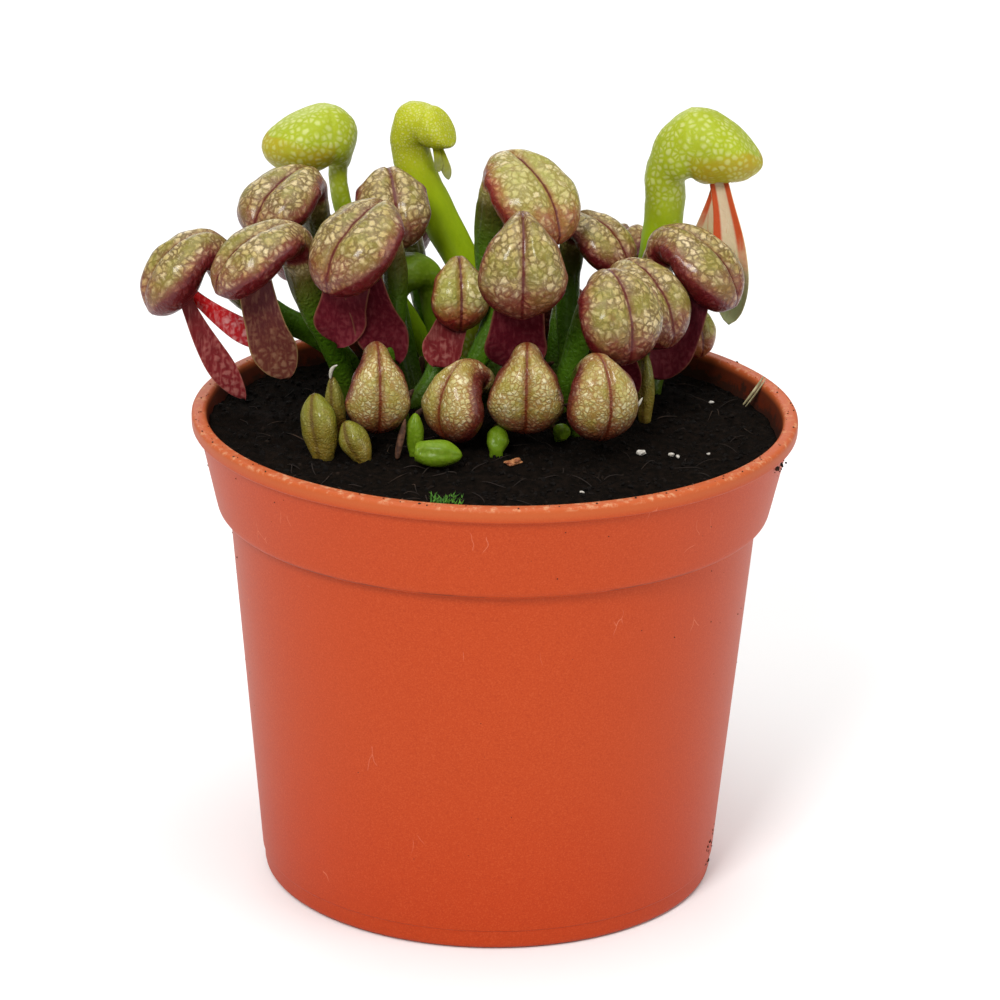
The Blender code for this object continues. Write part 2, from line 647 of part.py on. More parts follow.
def build_litter():
    """The bark chip, the moss tuft and the straw that lie on the soil."""
    for name, (place, size), look in (("bark_chip", BARK_CHIP, "bark"), ("moss_tuft", MOSS_TUFT, "moss")):
        builder = bmesh.new()
        bmesh.ops.create_icosphere(builder, subdivisions=2, radius=1.0)
        bmesh.ops.scale(builder, vec=[side / 2 for side in size], verts=builder.verts)
        height = soil_height(*place) + LITTER_LIFT + size[2] / 2
        bmesh.ops.translate(builder, vec=(*place, height), verts=builder.verts)
        add_object(name, builder, look)
    foot, tip, radius = Vector(STRAW[0]), Vector(STRAW[1]), STRAW[2]
    along = (tip - foot).normalized()
    across = Vector((0, 1, 0)).cross(along).normalized()
    through = along.cross(across)
    rings = []
    for share in (0, 0.5, 1):
        rings.append([
            foot.lerp(tip, share) + (across * math.cos(a) + through * math.sin(a)) * radius
            for a in (math.tau * k / STRAW_POINTS for k in range(STRAW_POINTS))
        ])
    builder = bmesh.new()
    loft(builder, rings)
    add_object("straw", builder, "straw")


def main():
    clear_scene()
    build_pot()
    build_soil_and_crown()
    for name, values in LEAVES.items():
        build_leaf(name, values)
    for name, values in BUDS.items():
        build_bud(name, values)
    build_litter()


main()
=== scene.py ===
"""Looks of the potted pitcher plant: netted hooded leaves in peat, in a round plastic pot."""

import logging
import math
import random
from dataclasses import dataclass, field
from enum import Enum
from typing import Sequence

import bpy
import numpy as np
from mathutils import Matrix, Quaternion, Vector, noise

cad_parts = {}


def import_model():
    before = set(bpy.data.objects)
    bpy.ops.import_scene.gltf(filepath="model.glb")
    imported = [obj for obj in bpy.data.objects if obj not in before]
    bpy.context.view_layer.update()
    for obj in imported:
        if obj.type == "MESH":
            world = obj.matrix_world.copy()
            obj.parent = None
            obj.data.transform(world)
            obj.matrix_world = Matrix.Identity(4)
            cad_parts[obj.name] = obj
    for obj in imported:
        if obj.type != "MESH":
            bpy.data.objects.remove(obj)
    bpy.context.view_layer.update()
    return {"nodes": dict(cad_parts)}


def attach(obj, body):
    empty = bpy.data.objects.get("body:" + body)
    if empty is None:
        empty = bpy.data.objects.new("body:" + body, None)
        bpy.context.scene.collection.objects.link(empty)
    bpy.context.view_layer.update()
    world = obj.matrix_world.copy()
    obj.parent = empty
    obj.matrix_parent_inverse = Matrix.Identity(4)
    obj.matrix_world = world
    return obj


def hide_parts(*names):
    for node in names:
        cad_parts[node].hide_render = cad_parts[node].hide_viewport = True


LOG = logging.getLogger("pitcher_plant")

MM = 0.001
BODY = "root"

Colour = tuple[float, float, float]
Pair = tuple[float, float]
Point = tuple[float, float, float]


# ---------------------------------------------------------------- shader maths


class Signal:
    """A node's output, on which plain arithmetic adds Math nodes."""

    def __init__(self, tree: bpy.types.NodeTree, socket: bpy.types.NodeSocket) -> None:
        """Wraps an output of a material's node tree."""
        self.tree = tree
        self.socket = socket

    def math(self, operation: str, *others: "Signal | float", first: "float | None" = None) -> "Signal":
        """Adds one Math node.

        Args:
            operation: The Math node's operation.
            others: The values after this one.
            first: A number that goes before this value, for reflected operators.

        Returns:
            The node's result.
        """
        node = self.tree.nodes.new("ShaderNodeMath")
        node.operation = operation
        values = (self, *others) if first is None else (first, self, *others)
        for slot, value in zip(node.inputs, values):
            if isinstance(value, Signal):
                self.tree.links.new(value.socket, slot)
            else:
                slot.default_value = value
        return Signal(self.tree, node.outputs[0])

    def __add__(self, other: "Signal | float") -> "Signal":
        """self + other."""
        return self.math("ADD", other)

    __radd__ = __add__

    def __sub__(self, other: "Signal | float") -> "Signal":
        """self - other."""
        return self.math("SUBTRACT", other)

    def __rsub__(self, other: float) -> "Signal":
        """other - self."""
        return self.math("SUBTRACT", first=other)

    def __mul__(self, other: "Signal | float") -> "Signal":
        """self * other."""
        return self.math("MULTIPLY", other)

    __rmul__ = __mul__

    def between(self, low: float, high: float) -> "Signal":
        """The value, kept from low to high."""
        return self.math("MAXIMUM", low).math("MINIMUM", high)

    def at_most(self, other: float) -> "Signal":
        """The smaller of the two."""
        return self.math("MINIMUM", other)

    def size(self) -> "Signal":
        """The value without its sign."""
        return self.math("ABSOLUTE")


class Dresser:
    """Builds one material's nodes."""

    def __init__(self, name: str) -> None:
        """Makes the material that takes the name."""
        self.material = bpy.data.materials.new(name)
        self.material.use_nodes = True
        self.tree = self.material.node_tree
        self.shader = self.tree.nodes["Principled BSDF"]

    def add(self, kind: str, settings: "dict | None" = None, sockets: "dict | None" = None,
            out: "int | str" = 0) -> Signal:
        """Adds any node.

        Args:
            kind: The node's type.
            settings: Its own properties, set first; "stops" fills a colour ramp.
            sockets: Values or signals for its inputs, by name or number.
            out: The output that is returned.

        Returns:
            That output.
        """
        node = self.tree.nodes.new(kind)
        for key, value in (settings or {}).items():
            if key == "stops":
                self._fill_ramp(node.color_ramp, value)
            else:
                setattr(node, key, value)
        for key, value in (sockets or {}).items():
            if isinstance(value, Signal):
                self.tree.links.new(value.socket, node.inputs[key])
            elif isinstance(value, tuple) and len(value) == 3 and node.inputs[key].type == "RGBA":
                node.inputs[key].default_value = (*value, 1.0)
            else:
                node.inputs[key].default_value = value
        return Signal(self.tree, node.outputs[out])

    @staticmethod
    def _fill_ramp(ramp: bpy.types.ColorRamp, stops: "Sequence[tuple[float, Colour]]") -> None:
        """Fills a colour ramp.

        Args:
            ramp: The ramp, which starts with two stops.
            stops: Each stop's place and colour.
        """
        for index, (place, colour) in enumerate(stops):
            stop = ramp.elements[index] if index < 2 else ramp.elements.new(place)
            stop.position = place
            stop.color = (*colour, 1.0)

    def place(self) -> Signal:
        """The object coordinates, in millimetres."""
        coordinates = self.add("ShaderNodeTexCoord", out="Object")
        return self.scaled(coordinates, 1 / MM)

    def scaled(self, vector: Signal, factor: float) -> Signal:
        """The vector times one factor."""
        return self.add("ShaderNodeVectorMath", {"operation": "SCALE"}, {"Vector": vector, "Scale": factor})

    def stretched(self, vector: Signal, by: Point) -> Signal:
        """The vector times three factors."""
        return self.add("ShaderNodeVectorMath", {"operation": "MULTIPLY"}, {0: vector, 1: by})

    def attribute(self, name: str) -> Signal:
        """A number that the mesh carries."""
        return self.add("ShaderNodeAttribute", {"attribute_name": name}, out="Fac")

    def noise(self, vector: Signal, size: float, detail: float = 3.0, rough: float = 0.5,
              out: "int | str" = 0) -> Signal:
        """Noise with features of a size in millimetres."""
        return self.add("ShaderNodeTexNoise", None,
                        {"Vector": vector, "Scale": 1 / size, "Detail": detail, "Roughness": rough}, out)

    def warped(self, vector: Signal, size: float, amount: float) -> Signal:
        """A vector pushed about by noise.

        Args:
            vector: The vector, in millimetres.
            size: The size of the noise's features, in millimetres.
            amount: How far it is pushed at most, in millimetres.

        Returns:
            The pushed vector.
        """
        push = self.add("ShaderNodeVectorMath", {"operation": "SUBTRACT"},
                        {0: self.noise(vector, size, 2.0, 0.5, "Color"), 1: (0.5, 0.5, 0.5)})
        push = self.scaled(push, 2 * amount)
        return self.add("ShaderNodeVectorMath", {"operation": "ADD"}, {0: vector, 1: push})

    def cells(self, vector: Signal, size: float, feature: str, out: "int | str" = "Distance") -> Signal:
        """Cells of a size in millimetres."""
        sockets = {"Vector": vector, "Scale": 1 / size}
        return self.add("ShaderNodeTexVoronoi", {"feature": feature}, sockets, out)

    def cell_tone(self, vector: Signal, size: float) -> Signal:
        """A number from 0 to 1 that differs from cell to cell."""
        cell_colour = self.cells(vector, size, "F1", "Color")
        return self.add("ShaderNodeSeparateColor", None, {"Color": cell_colour}, 0)

    def step(self, value: Signal, low: "Signal | float", high: "Signal | float") -> Signal:
        """A smooth step from 0 at low to 1 at high."""
        return self.add("ShaderNodeMapRange", {"interpolation_type": "SMOOTHSTEP"},
                        {"Value": value, "From Min": low, "From Max": high})

    def mix(self, share: "Signal | float", below: "Signal | Colour", above: "Signal | Colour") -> Signal:
        """Two colours mixed: share is how much of the one above shows."""
        return self.add("ShaderNodeMix", {"data_type": "RGBA"}, {0: share, 6: below, 7: above}, 2)

    def bump(self, height: Signal, depth: float, strength: float, below: "Signal | None" = None) -> Signal:
        """A bump on the surface.

        Args:
            height: Its height, from 0 to 1.
            depth: What a height of 1 stands for, in millimetres.
            strength: How much of it shows.
            below: The normal of a bump that lies under this one.

        Returns:
            The bent normal.
        """
        sockets: dict = {"Height": height, "Distance": depth * MM, "Strength": strength}
        if below is not None:
            sockets["Normal"] = below
        return self.add("ShaderNodeBump", None, sockets, "Normal")

    def finish(self, links: "dict[str, Signal]", constants: "dict[str, object]") -> bpy.types.Material:
        """Connects the shader.

        Args:
            links: Signals for the shader's sockets.
            constants: Plain values, set on the shader's own sockets.

        Returns:
            The material.
        """
        for name, value in constants.items():
            self.shader.inputs[name].default_value = value
        for name, signal in links.items():
            self.tree.links.new(signal.socket, self.shader.inputs[name])
        return self.material


# ---------------------------------------------------------------- finishes


@dataclass(frozen=True)
class NettedSkin:
    """A ripe hood: pale windows in a net of veins, olive above and crimson below, on an olive tube."""

    name: str
    cell_top: Colour = (0.44, 0.335, 0.120)
    cell_low: Colour = (0.33, 0.060, 0.048)
    cell_pale: Colour = (0.74, 0.60, 0.38)
    vein_top: Colour = (0.105, 0.062, 0.012)
    vein_mid: Colour = (0.125, 0.018, 0.011)
    vein_low: Colour = (0.085, 0.004, 0.006)
    leaf_green: Colour = (0.215, 0.215, 0.024)
    rib: Colour = (0.085, 0.006, 0.006)
    tube_top: Colour = (0.085, 0.040, 0.010)
    tube_low: Colour = (0.075, 0.170, 0.006)
    tube_streak: Colour = (0.028, 0.075, 0.004)
    tube_foot: Colour = (0.05, 0.045, 0.006)
    # Painted shade: the near-black of the shaded hollow, painted into the dent under the hood.
    mouth: Colour = (0.025, 0.006, 0.006)
    cell: float = 1.12
    ripeness: float = 1.0
    net: float = 0.92

    def material(self) -> bpy.types.Material:
        """Builds the material.

        Returns:
            The material.
        """
        d = Dresser(self.name)
        place = d.place()
        blush = d.attribute("blush")
        spread = d.noise(place, 3.4, 3.0)
        mottle = d.noise(place, 0.62, 3.0, 0.7)
        ripe = (blush * self.ripeness + (spread - 0.5) * 0.7 + (mottle - 0.5) * 0.4).between(0.0, 1.0)
        winding = d.warped(d.warped(place, 2.2, 0.55), 0.45, 0.34)
        edge = d.cells(winding, self.cell, "DISTANCE_TO_EDGE")
        patch = d.cell_tone(winding, self.cell)
        fine = d.cells(d.warped(place, 0.4, 0.15), self.cell * 0.42, "DISTANCE_TO_EDGE")
        open_share = d.step(edge + (mottle - 0.5) * 0.12, 0.0, 0.30 + ripe * 0.42)
        faded = d.step(d.noise(place, 1.9, 2.0), 0.45, 0.70) * 0.35
        open_share = (open_share + faded * (1 - ripe)).at_most(1.0)
        fine_share = 1 - (1 - d.step(fine, 0.0, 0.24)) * (0.22 + ripe * 0.35)
        cell_colour = d.mix(ripe, self.cell_top, self.cell_low)
        bright = (patch * patch * 0.6 + (mottle - 0.5) * 0.7).between(0.0, 0.8) * (1 - ripe * 0.55)
        cell_colour = d.mix(bright, cell_colour, self.cell_pale)
        vein_colour = d.add("ShaderNodeValToRGB", {"stops": (
            (0.0, self.vein_top), (0.35, self.vein_mid), (1.0, self.vein_low))}, {"Fac": ripe})
        skin = d.mix(1 - (1 - open_share * fine_share) * self.net, vein_colour, cell_colour)
        green = d.step(spread + (mottle - 0.5) * 0.3, 0.45, 0.66) * (1 - ripe) * 0.6
        skin = d.mix(green, skin, self.leaf_green)
        dusk = d.step(blush + (spread - 0.5) * 0.5 + (mottle - 0.5) * 0.4, 0.72, 1.25)
        skin = d.mix(dusk * 0.85 * (1 - open_share * 0.55), skin, self.vein_low)
        smudge = d.step(d.noise(place, 2.6, 4.0, 0.65), 0.56, 0.72)
        skin = d.mix(smudge * 0.35, skin, self.vein_mid)
        rib = d.attribute("rib") + (d.noise(place, 0.9, 2.0) - 0.5) * 0.35
        skin = d.mix((1 - d.step(rib, 0.2, 1.2)) * 0.5, skin, self.vein_mid)
        skin = d.mix((1 - d.step(rib, 0.12, 0.36)) * 0.9, skin, self.rib)
        tube = d.attribute("tube")
        streak = d.noise(d.stretched(place, (1.0, 1.0, 0.12)), 0.5, 2.0)
        tube_colour = d.mix(d.step(tube, 0.04, 0.42), self.tube_top, self.tube_low)
        tube_colour = d.mix(streak * 0.6, tube_colour, self.tube_streak)
        tube_colour = d.mix(d.step(tube, 0.72, 1.0) * 0.5, tube_colour, self.tube_foot)
        skin = d.mix(d.step(tube, 0.0, 0.12), skin, tube_colour)
        # Painted shade: the dent under the hood is painted near-black, standing in for the shaded hollow of
        # the mouth.
        skin = d.mix(d.attribute("mouth"), skin, self.mouth)
        rough = 0.28 + d.noise(place, 0.8, 3.0) * 0.22
        normal = d.bump(d.step(edge, 0.0, 0.34), 0.16, 0.6)
        normal = d.bump(mottle, 0.10, 0.5, normal)
        return d.finish(
            {"Base Color": skin, "Roughness": rough, "Normal": normal},
            {"Subsurface Weight": 0.06, "Subsurface Scale": 0.0005, "Subsurface Radius": (1.0, 0.4, 0.2),
             "Coat Weight": 0.28, "Coat Roughness": 0.13, "IOR": 1.40, "Specular IOR Level": 0.25},
        )


@dataclass(frozen=True)
class SpottedSkin:
    """A green hood or tube: lime, with pale windows on the hood and an orange blush under its nose."""

    name: str
    lime: Colour = (0.34, 0.38, 0.016)
    tube: Colour = (0.27, 0.44, 0.002)
    window: Colour = (0.60, 0.62, 0.27)
    blush: Colour = (0.40, 0.19, 0.012)
    clouded: Colour = (0.24, 0.34, 0.004)
    grained: Colour = (0.16, 0.24, 0.004)
    # Painted shade: the dark of the shaded hollow, painted into the dent under the hood.
    mouth: Colour = (0.07, 0.05, 0.006)
    tube_streak: Colour = (0.085, 0.20, 0.003)
    cell: float = 1.0
    windows: float = 0.6

    def material(self) -> bpy.types.Material:
        """Builds the material.

        Returns:
            The material.
        """
        d = Dresser(self.name)
        place = d.place()
        tube, blush = d.attribute("tube"), d.attribute("blush")
        cloud = d.noise(place, 5.0, 2.0)
        grain = d.noise(place, 0.5, 3.0, 0.7)
        winding = d.warped(d.warped(place, 2.5, 0.30), 0.5, 0.10)
        edge = d.cells(winding, self.cell, "DISTANCE_TO_EDGE")
        patch = d.cell_tone(winding, self.cell)
        window = (1 - d.step(d.cells(winding, self.cell, "F1") + (grain - 0.5) * 0.10, 0.34, 0.86))
        window = window * d.step(edge, 0.0, 0.36) * (0.6 + patch * 0.4)
        window = window * (1 - d.step(tube + (patch - 0.5) * 0.16, 0.0, 0.20))
        skin = d.mix(d.step(tube, 0.0, 0.4), self.lime, self.tube)
        skin = d.mix(cloud * 0.25, skin, self.clouded)
        skin = d.mix(grain * 0.35, skin, self.grained)
        skin = d.mix(window * self.windows, skin, self.window)
        warm = d.step(blush + (cloud - 0.5) * 0.7 + (grain - 0.5) * 0.5, 0.85, 1.90) * (1 - window * 0.55)
        warm = warm * (1 - d.step(tube, 0.0, 0.05))
        skin = d.mix(warm * 0.75, skin, self.blush)
        # Painted shade: the dent under the hood is painted dark, standing in for the shaded hollow of the
        # mouth.
        skin = d.mix(d.attribute("mouth") * 0.75, skin, self.mouth)
        streak = d.noise(d.stretched(place, (1.0, 1.0, 0.1)), 0.6, 2.0)
        skin = d.mix(streak * d.step(tube, 0.1, 0.6) * 0.4, skin, self.tube_streak)
        normal = d.bump(window, 0.10, 0.5)
        normal = d.bump(grain, 0.07, 0.45, normal)
        return d.finish(
            {"Base Color": skin, "Roughness": 0.40 + grain * 0.2, "Normal": normal,
             "Coat Weight": (1 - d.step(tube, 0.0, 0.2)) * 0.14},
            {"Subsurface Weight": 0.15, "Subsurface Scale": 0.0008, "Subsurface Radius": (0.6, 1.0, 0.1),
             "Coat Roughness": 0.2, "IOR": 1.40, "Specular IOR Level": 0.14},
        )


@dataclass(frozen=True)
class TailSkin:
    """A tail lobe: dark at its root, veined and mottled lighter towards its tip."""

    name: str
    root: Colour = (0.070, 0.004, 0.009)
    tip: Colour = (0.125, 0.010, 0.018)
    spots: Colour = (0.25, 0.055, 0.06)
    spot_share: float = 0.35
    edge: float = 0.0
    edge_colour: Colour = (0.52, 0.060, 0.010)
    rim_colour: Colour = (0.22, 0.10, 0.05)
    faded: Colour = (0.36, 0.42, 0.20)

    def material(self) -> bpy.types.Material:
        """Builds the material.

        Returns:
            The material.
        """
        d = Dresser(self.name)
        place = d.place()
        along, across = d.attribute("along"), d.attribute("across")
        cloud, grain = d.noise(place, 2.2, 3.0), d.noise(place, 0.5, 3.0, 0.7)
        winding = d.warped(place, 1.0, 0.45)
        gap = d.cells(winding, 1.25, "DISTANCE_TO_EDGE") + (grain - 0.5) * 0.25
        skin = d.mix(d.step(along + (cloud - 0.5) * 0.6, 0.2, 0.85), self.root, self.tip)
        streak = d.noise(d.stretched(place, (1.0, 1.0, 0.15)), 0.45, 2.0)
        skin = d.mix(d.step(streak, 0.35, 0.75) * 0.45, skin, self.root)
        skin = d.mix(d.step(streak, 0.52, 0.30) * 0.25, skin, self.spots)
        shown = d.step(gap, 0.06, 0.38) * d.step(along + (cloud - 0.5) * 0.7, 0.25, 0.85) * self.spot_share
        skin = d.mix(shown, skin, self.spots)
        side = across.size()
        skin = d.mix(d.step(side, 0.90, 0.99) * 0.5, skin, self.rim_colour)
        if self.edge:
            stripe = d.step(side, 0.35, 0.55) * (1 - d.step(side, 0.93, 1.0))
            stripe = stripe * (1 - d.step(along + (cloud - 0.5) * 0.3, 0.35, 0.75))
            skin = d.mix(stripe * self.edge, skin, self.edge_colour)
            skin = d.mix(d.step(along, 0.55, 0.95) * 0.75, skin, self.faded)
            line = d.step(d.noise(d.stretched(place, (1.0, 1.0, 0.12)), 0.35, 2.0), 0.62, 0.72)
            skin = d.mix(line * 0.35, skin, self.edge_colour)
        normal = d.bump(gap, 0.16, 0.5)
        normal = d.bump(grain, 0.10, 0.5, normal)
        return d.finish(
            {"Base Color": skin, "Roughness": 0.36 + streak * 0.22, "Normal": normal},
            {"Subsurface Weight": 0.06, "Subsurface Scale": 0.0005, "Subsurface Radius": (1.0, 0.3, 0.2),
             "IOR": 1.40, "Specular IOR Level": 0.10},
        )


@dataclass(frozen=True)
class PotPlastic:
    """Satin orange plastic with its grain, scuffs, dust on the lip and soil specks, plus painted sheen on the
    lip and painted shade low on the body, at the collar step and on the inner wall.
    """

    name: str = "terracotta_plastic"
    colour: Colour = (0.42, 0.047, 0.005)
    clouded: Colour = (0.46, 0.056, 0.008)
    grained: Colour = (0.34, 0.032, 0.006)
    # Darker, redder orange low on the body: painted shade towards the base.
    foot: Colour = (0.42, 0.030, 0.001)
    dark_fleck: Colour = (0.27, 0.022, 0.003)
    pale_fleck: Colour = (0.58, 0.12, 0.035)
    # Paler orange for the lip band: painted sheen where the rolled lip catches the light.
    lip: Colour = (0.43, 0.092, 0.024)
    dust: Colour = (0.62, 0.36, 0.20)
    speck: Colour = (0.035, 0.012, 0.008)
    scuff: Colour = (0.70, 0.28, 0.17)
    # Dark line at the collar step: dirt and painted shade under the step.
    step_dirt_and_shade: Colour = (0.10, 0.020, 0.010)
    # Inner wall colours: soil dirt and wet patches, darkened further as painted shade inside the rim.
    inside: Colour = (0.060, 0.010, 0.004)
    damp_and_shade: Colour = (0.018, 0.009, 0.006)
    collar_step_height: float = 57.6
    wall_top: Pair = (42.9, 71.8)
    wall_slope: float = 0.238
    soil_line: float = 69.5

    def material(self) -> bpy.types.Material:
        """Builds the material.

        Returns:
            The material.
        """
        d = Dresser(self.name)
        place = d.place()
        height = d.add("ShaderNodeSeparateXYZ", None, {"Vector": place}, "Z")
        grain = d.noise(place, 0.35, 2.0, 0.6)
        cloud = d.noise(place, 14.0, 3.0)
        base = d.mix(cloud * 0.4, self.colour, self.clouded)
        base = d.mix(grain * 0.25, base, self.grained)
        # Painted shade: the body darkens towards the base.
        base = d.mix((1 - d.step(height, 4.0, 34.0)) * 0.45, base, self.foot)
        fleck = d.noise(place, 0.22, 1.0, 0.5)
        base = d.mix(d.step(fleck, 0.50, 0.72) * 0.30, base, self.dark_fleck)
        base = d.mix(d.step(fleck, 0.48, 0.28) * 0.22, base, self.pale_fleck)
        # Painted sheen: the lip band is painted a paler orange.
        base = d.mix(d.step(height, 69.9, 71.4) * 0.8, base, self.lip)
        dust = d.step(d.noise(place, 1.1, 4.0, 0.7), 0.5, 0.68) * d.step(height, 71.6, 72.2)
        base = d.mix(dust * 0.55, base, self.dust)
        speck = 1 - d.step(d.cells(d.warped(place, 2.0, 1.0), 7.5, "F1"), 0.030, 0.052)
        speck = speck * d.step(d.noise(place, 11.0, 1.0), 0.5, 0.6)
        base = d.mix(speck * 0.85, base, self.speck)
        scuff = d.cells(d.stretched(d.warped(place, 6.0, 2.0), (1.0, 1.0, 0.35)), 5.0, "DISTANCE_TO_EDGE")
        scuff = (1 - d.step(scuff, 0.0, 0.010)) * d.step(d.noise(place, 7.0, 2.0), 0.66, 0.70)
        base = d.mix(scuff * 0.4, base, self.scuff)
        # Dirt and painted shade: a thin broken dark line under the collar step.
        step_dirt_and_shade = 1 - d.step((height - self.collar_step_height).size(), 0.1, 0.55)
        step_dirt_and_shade = step_dirt_and_shade * d.step(d.noise(place, 6.0, 3.0), 0.40, 0.62)
        base = d.mix(step_dirt_and_shade * 0.6, base, self.step_dirt_and_shade)
        # Soil dirt and painted shade: the inner wall below the rim is darkened, in patches that grow towards
        # the peat.
        flat = d.stretched(place, (1.0, 1.0, 0.0))
        radius = d.add("ShaderNodeVectorMath", {"operation": "LENGTH"}, {0: flat}, "Value")
        wall = self.wall_top[0] - (self.wall_top[1] - height) * self.wall_slope
        inside = (1 - d.step(radius - wall, 0.4, 0.8)) * (1 - d.step(height, 71.0, 72.0))
        inside = inside * d.step(height, 60.0, 62.0)
        base = d.mix(inside * 0.92, base, self.inside)
        damp_and_shade = inside * d.step(d.noise(place, 2.0, 4.0, 0.7) - (height - self.soil_line) * 0.12, 0.40, 0.55)
        base = d.mix(damp_and_shade * 0.8, base, self.damp_and_shade)
        rough = 0.40 + grain * 0.12 + dust * 0.3 + scuff * 0.2
        normal = d.bump(grain, 0.03, 0.25)
        normal = d.bump(d.noise(place, 9.0, 2.0), 0.25, 0.15, normal)
        return d.finish(
            {"Base Color": base, "Roughness": rough, "Normal": normal},
            {"IOR": 1.45, "Specular IOR Level": 0.2},
        )


@dataclass(frozen=True)
class Matter:
    """A rough natural matter of two colours in patches, such as peat, bark or straw."""

    name: str
    dark: Colour
    pale: Colour
    patch: float
    rough: float = 0.9
    relief: float = 0.15
    stretch: Point = (1.0, 1.0, 1.0)
    low: float = 0.35
    high: float = 0.7
    gloss: float = 0.3

    def material(self) -> bpy.types.Material:
        """Builds the material.

        Returns:
            The material.
        """
        d = Dresser(self.name)
        place = d.stretched(d.place(), self.stretch)
        patches = d.noise(place, self.patch, 4.0, 0.65)
        grain = d.noise(place, self.patch * 0.25, 3.0, 0.6)
        colour = d.mix(d.step(patches, self.low, self.high), self.dark, self.pale)
        colour = d.mix(d.step(grain, 0.3, 0.7) * 0.5, colour, self.dark)
        normal = d.bump(patches * 0.6 + grain * 0.4, self.relief, 0.8)
        rough = grain * 0.1 + (self.rough - 0.05)
        return d.finish({"Base Color": colour, "Roughness": rough, "Normal": normal},
                        {"Specular IOR Level": self.gloss})


class NaturalFinish(Enum):
    """The rough natural matters."""

    PEAT = Matter("peat", (0.0025, 0.0018, 0.0012), (0.010, 0.006, 0.004), 1.2, 0.95, 0.5, gloss=0.04)
    CRUMB = Matter("peat_crumb", (0.003, 0.002, 0.0014), (0.030, 0.017, 0.010), 1.6, 0.9, 0.3, low=0.5,
                   high=0.8, gloss=0.12)
    ROOT_HAIR = Matter("root_hair", (0.014, 0.008, 0.005), (0.10, 0.055, 0.03), 5.0, 0.8, 0.05,
                       low=0.5, high=0.75)
    CHIP = Matter("chip_bark", (0.20, 0.06, 0.02), (0.62, 0.28, 0.11), 0.8, 0.6, 0.15)
    MOSS = Matter("moss_green", (0.025, 0.10, 0.006), (0.13, 0.34, 0.02), 0.9, 0.7, 0.05)
    STRAW = Matter("straw_dry", (0.20, 0.17, 0.08), (0.55, 0.48, 0.28), 1.2, 0.6, 0.05)
    PERLITE = Matter("perlite", (0.42, 0.38, 0.32), (0.75, 0.72, 0.66), 0.5, 0.85, 0.1)
    DRY_SKIN = Matter("dry_skin_pale", (0.36, 0.33, 0.26), (0.72, 0.70, 0.60), 0.6, 0.5, 0.05)
    DEAD_SCALE = Matter("dead_scale", (0.045, 0.018, 0.010), (0.20, 0.09, 0.045), 0.9, 0.65, 0.1)
    CLINGING_CRUMB = Matter("clinging_crumb", (0.010, 0.006, 0.004), (0.07, 0.035, 0.018), 1.5, 0.9, 0.1)
    CROWN = Matter("crown_wood", (0.05, 0.025, 0.012), (0.20, 0.11, 0.05), 2.5, 0.85, 0.3)


class LeafFinish(Enum):
    """The skins that a leaf can have."""

    CRIMSON = NettedSkin("crimson_netted_skin")
    WARM = NettedSkin("warm_netted_skin", cell_top=(0.44, 0.39, 0.13), cell_low=(0.50, 0.085, 0.030),
                      vein_top=(0.21, 0.17, 0.03), vein_mid=(0.22, 0.050, 0.014),
                      vein_low=(0.15, 0.010, 0.008), leaf_green=(0.28, 0.31, 0.04))
    OLIVE = NettedSkin("olive_netted_skin", cell_top=(0.47, 0.40, 0.15), cell_low=(0.32, 0.085, 0.028),
                       cell_pale=(0.82, 0.76, 0.52), vein_top=(0.26, 0.135, 0.020),
                       vein_mid=(0.17, 0.032, 0.009), vein_low=(0.080, 0.006, 0.005),
                       leaf_green=(0.31, 0.29, 0.035), rib=(0.15, 0.025, 0.008), cell=0.72,
                       ripeness=1.35, net=0.9)
    LIME = SpottedSkin("lime_spotted_skin")
    YELLOW = SpottedSkin("yellow_skin", lime=(0.42, 0.42, 0.010), tube=(0.30, 0.40, 0.003),
                         window=(0.56, 0.55, 0.20), cell=0.5)
    GREEN = SpottedSkin("green_skin", lime=(0.085, 0.165, 0.006), tube=(0.085, 0.21, 0.005),
                        window=(0.20, 0.27, 0.03), windows=0.4)
    BUD = NettedSkin("bud_skin", cell_top=(0.21, 0.20, 0.018), cell_low=(0.24, 0.15, 0.020),
                     cell_pale=(0.40, 0.38, 0.12), vein_top=(0.13, 0.13, 0.008), vein_mid=(0.15, 0.09, 0.008),
                     vein_low=(0.15, 0.045, 0.008), rib=(0.11, 0.065, 0.008), tube_top=(0.15, 0.16, 0.012),
                     tube_low=(0.17, 0.16, 0.015), leaf_green=(0.17, 0.19, 0.010), cell=0.5, net=0.55)


class TailFinish(Enum):
    """The skins that a tail lobe can have."""

    MAROON = TailSkin("maroon_tail")
    SCARLET = TailSkin("scarlet_tail", root=(0.55, 0.006, 0.008), tip=(0.50, 0.05, 0.06),
                       spots=(0.85, 0.48, 0.46), spot_share=0.8)
    WINE = TailSkin("wine_tail", root=(0.105, 0.008, 0.009), tip=(0.22, 0.022, 0.026),
                    spots=(0.46, 0.17, 0.14), spot_share=0.6, rim_colour=(0.36, 0.13, 0.09))
    OLIVE = TailSkin("olive_tipped_tail", root=(0.080, 0.016, 0.018), tip=(0.150, 0.040, 0.026),
                     spots=(0.30, 0.150, 0.085), spot_share=0.75, rim_colour=(0.38, 0.27, 0.10))
    LIME = TailSkin("lime_tail", root=(0.34, 0.36, 0.010), tip=(0.26, 0.28, 0.09), spots=(0.45, 0.46, 0.22),
                    rim_colour=(0.35, 0.37, 0.15))
    CREAM = TailSkin("cream_tail", root=(0.66, 0.50, 0.33), tip=(0.50, 0.50, 0.23), spots=(0.68, 0.62, 0.42),
                     spot_share=0.4, edge=0.95, rim_colour=(0.55, 0.50, 0.24))


_made: dict[str, bpy.types.Material] = {}


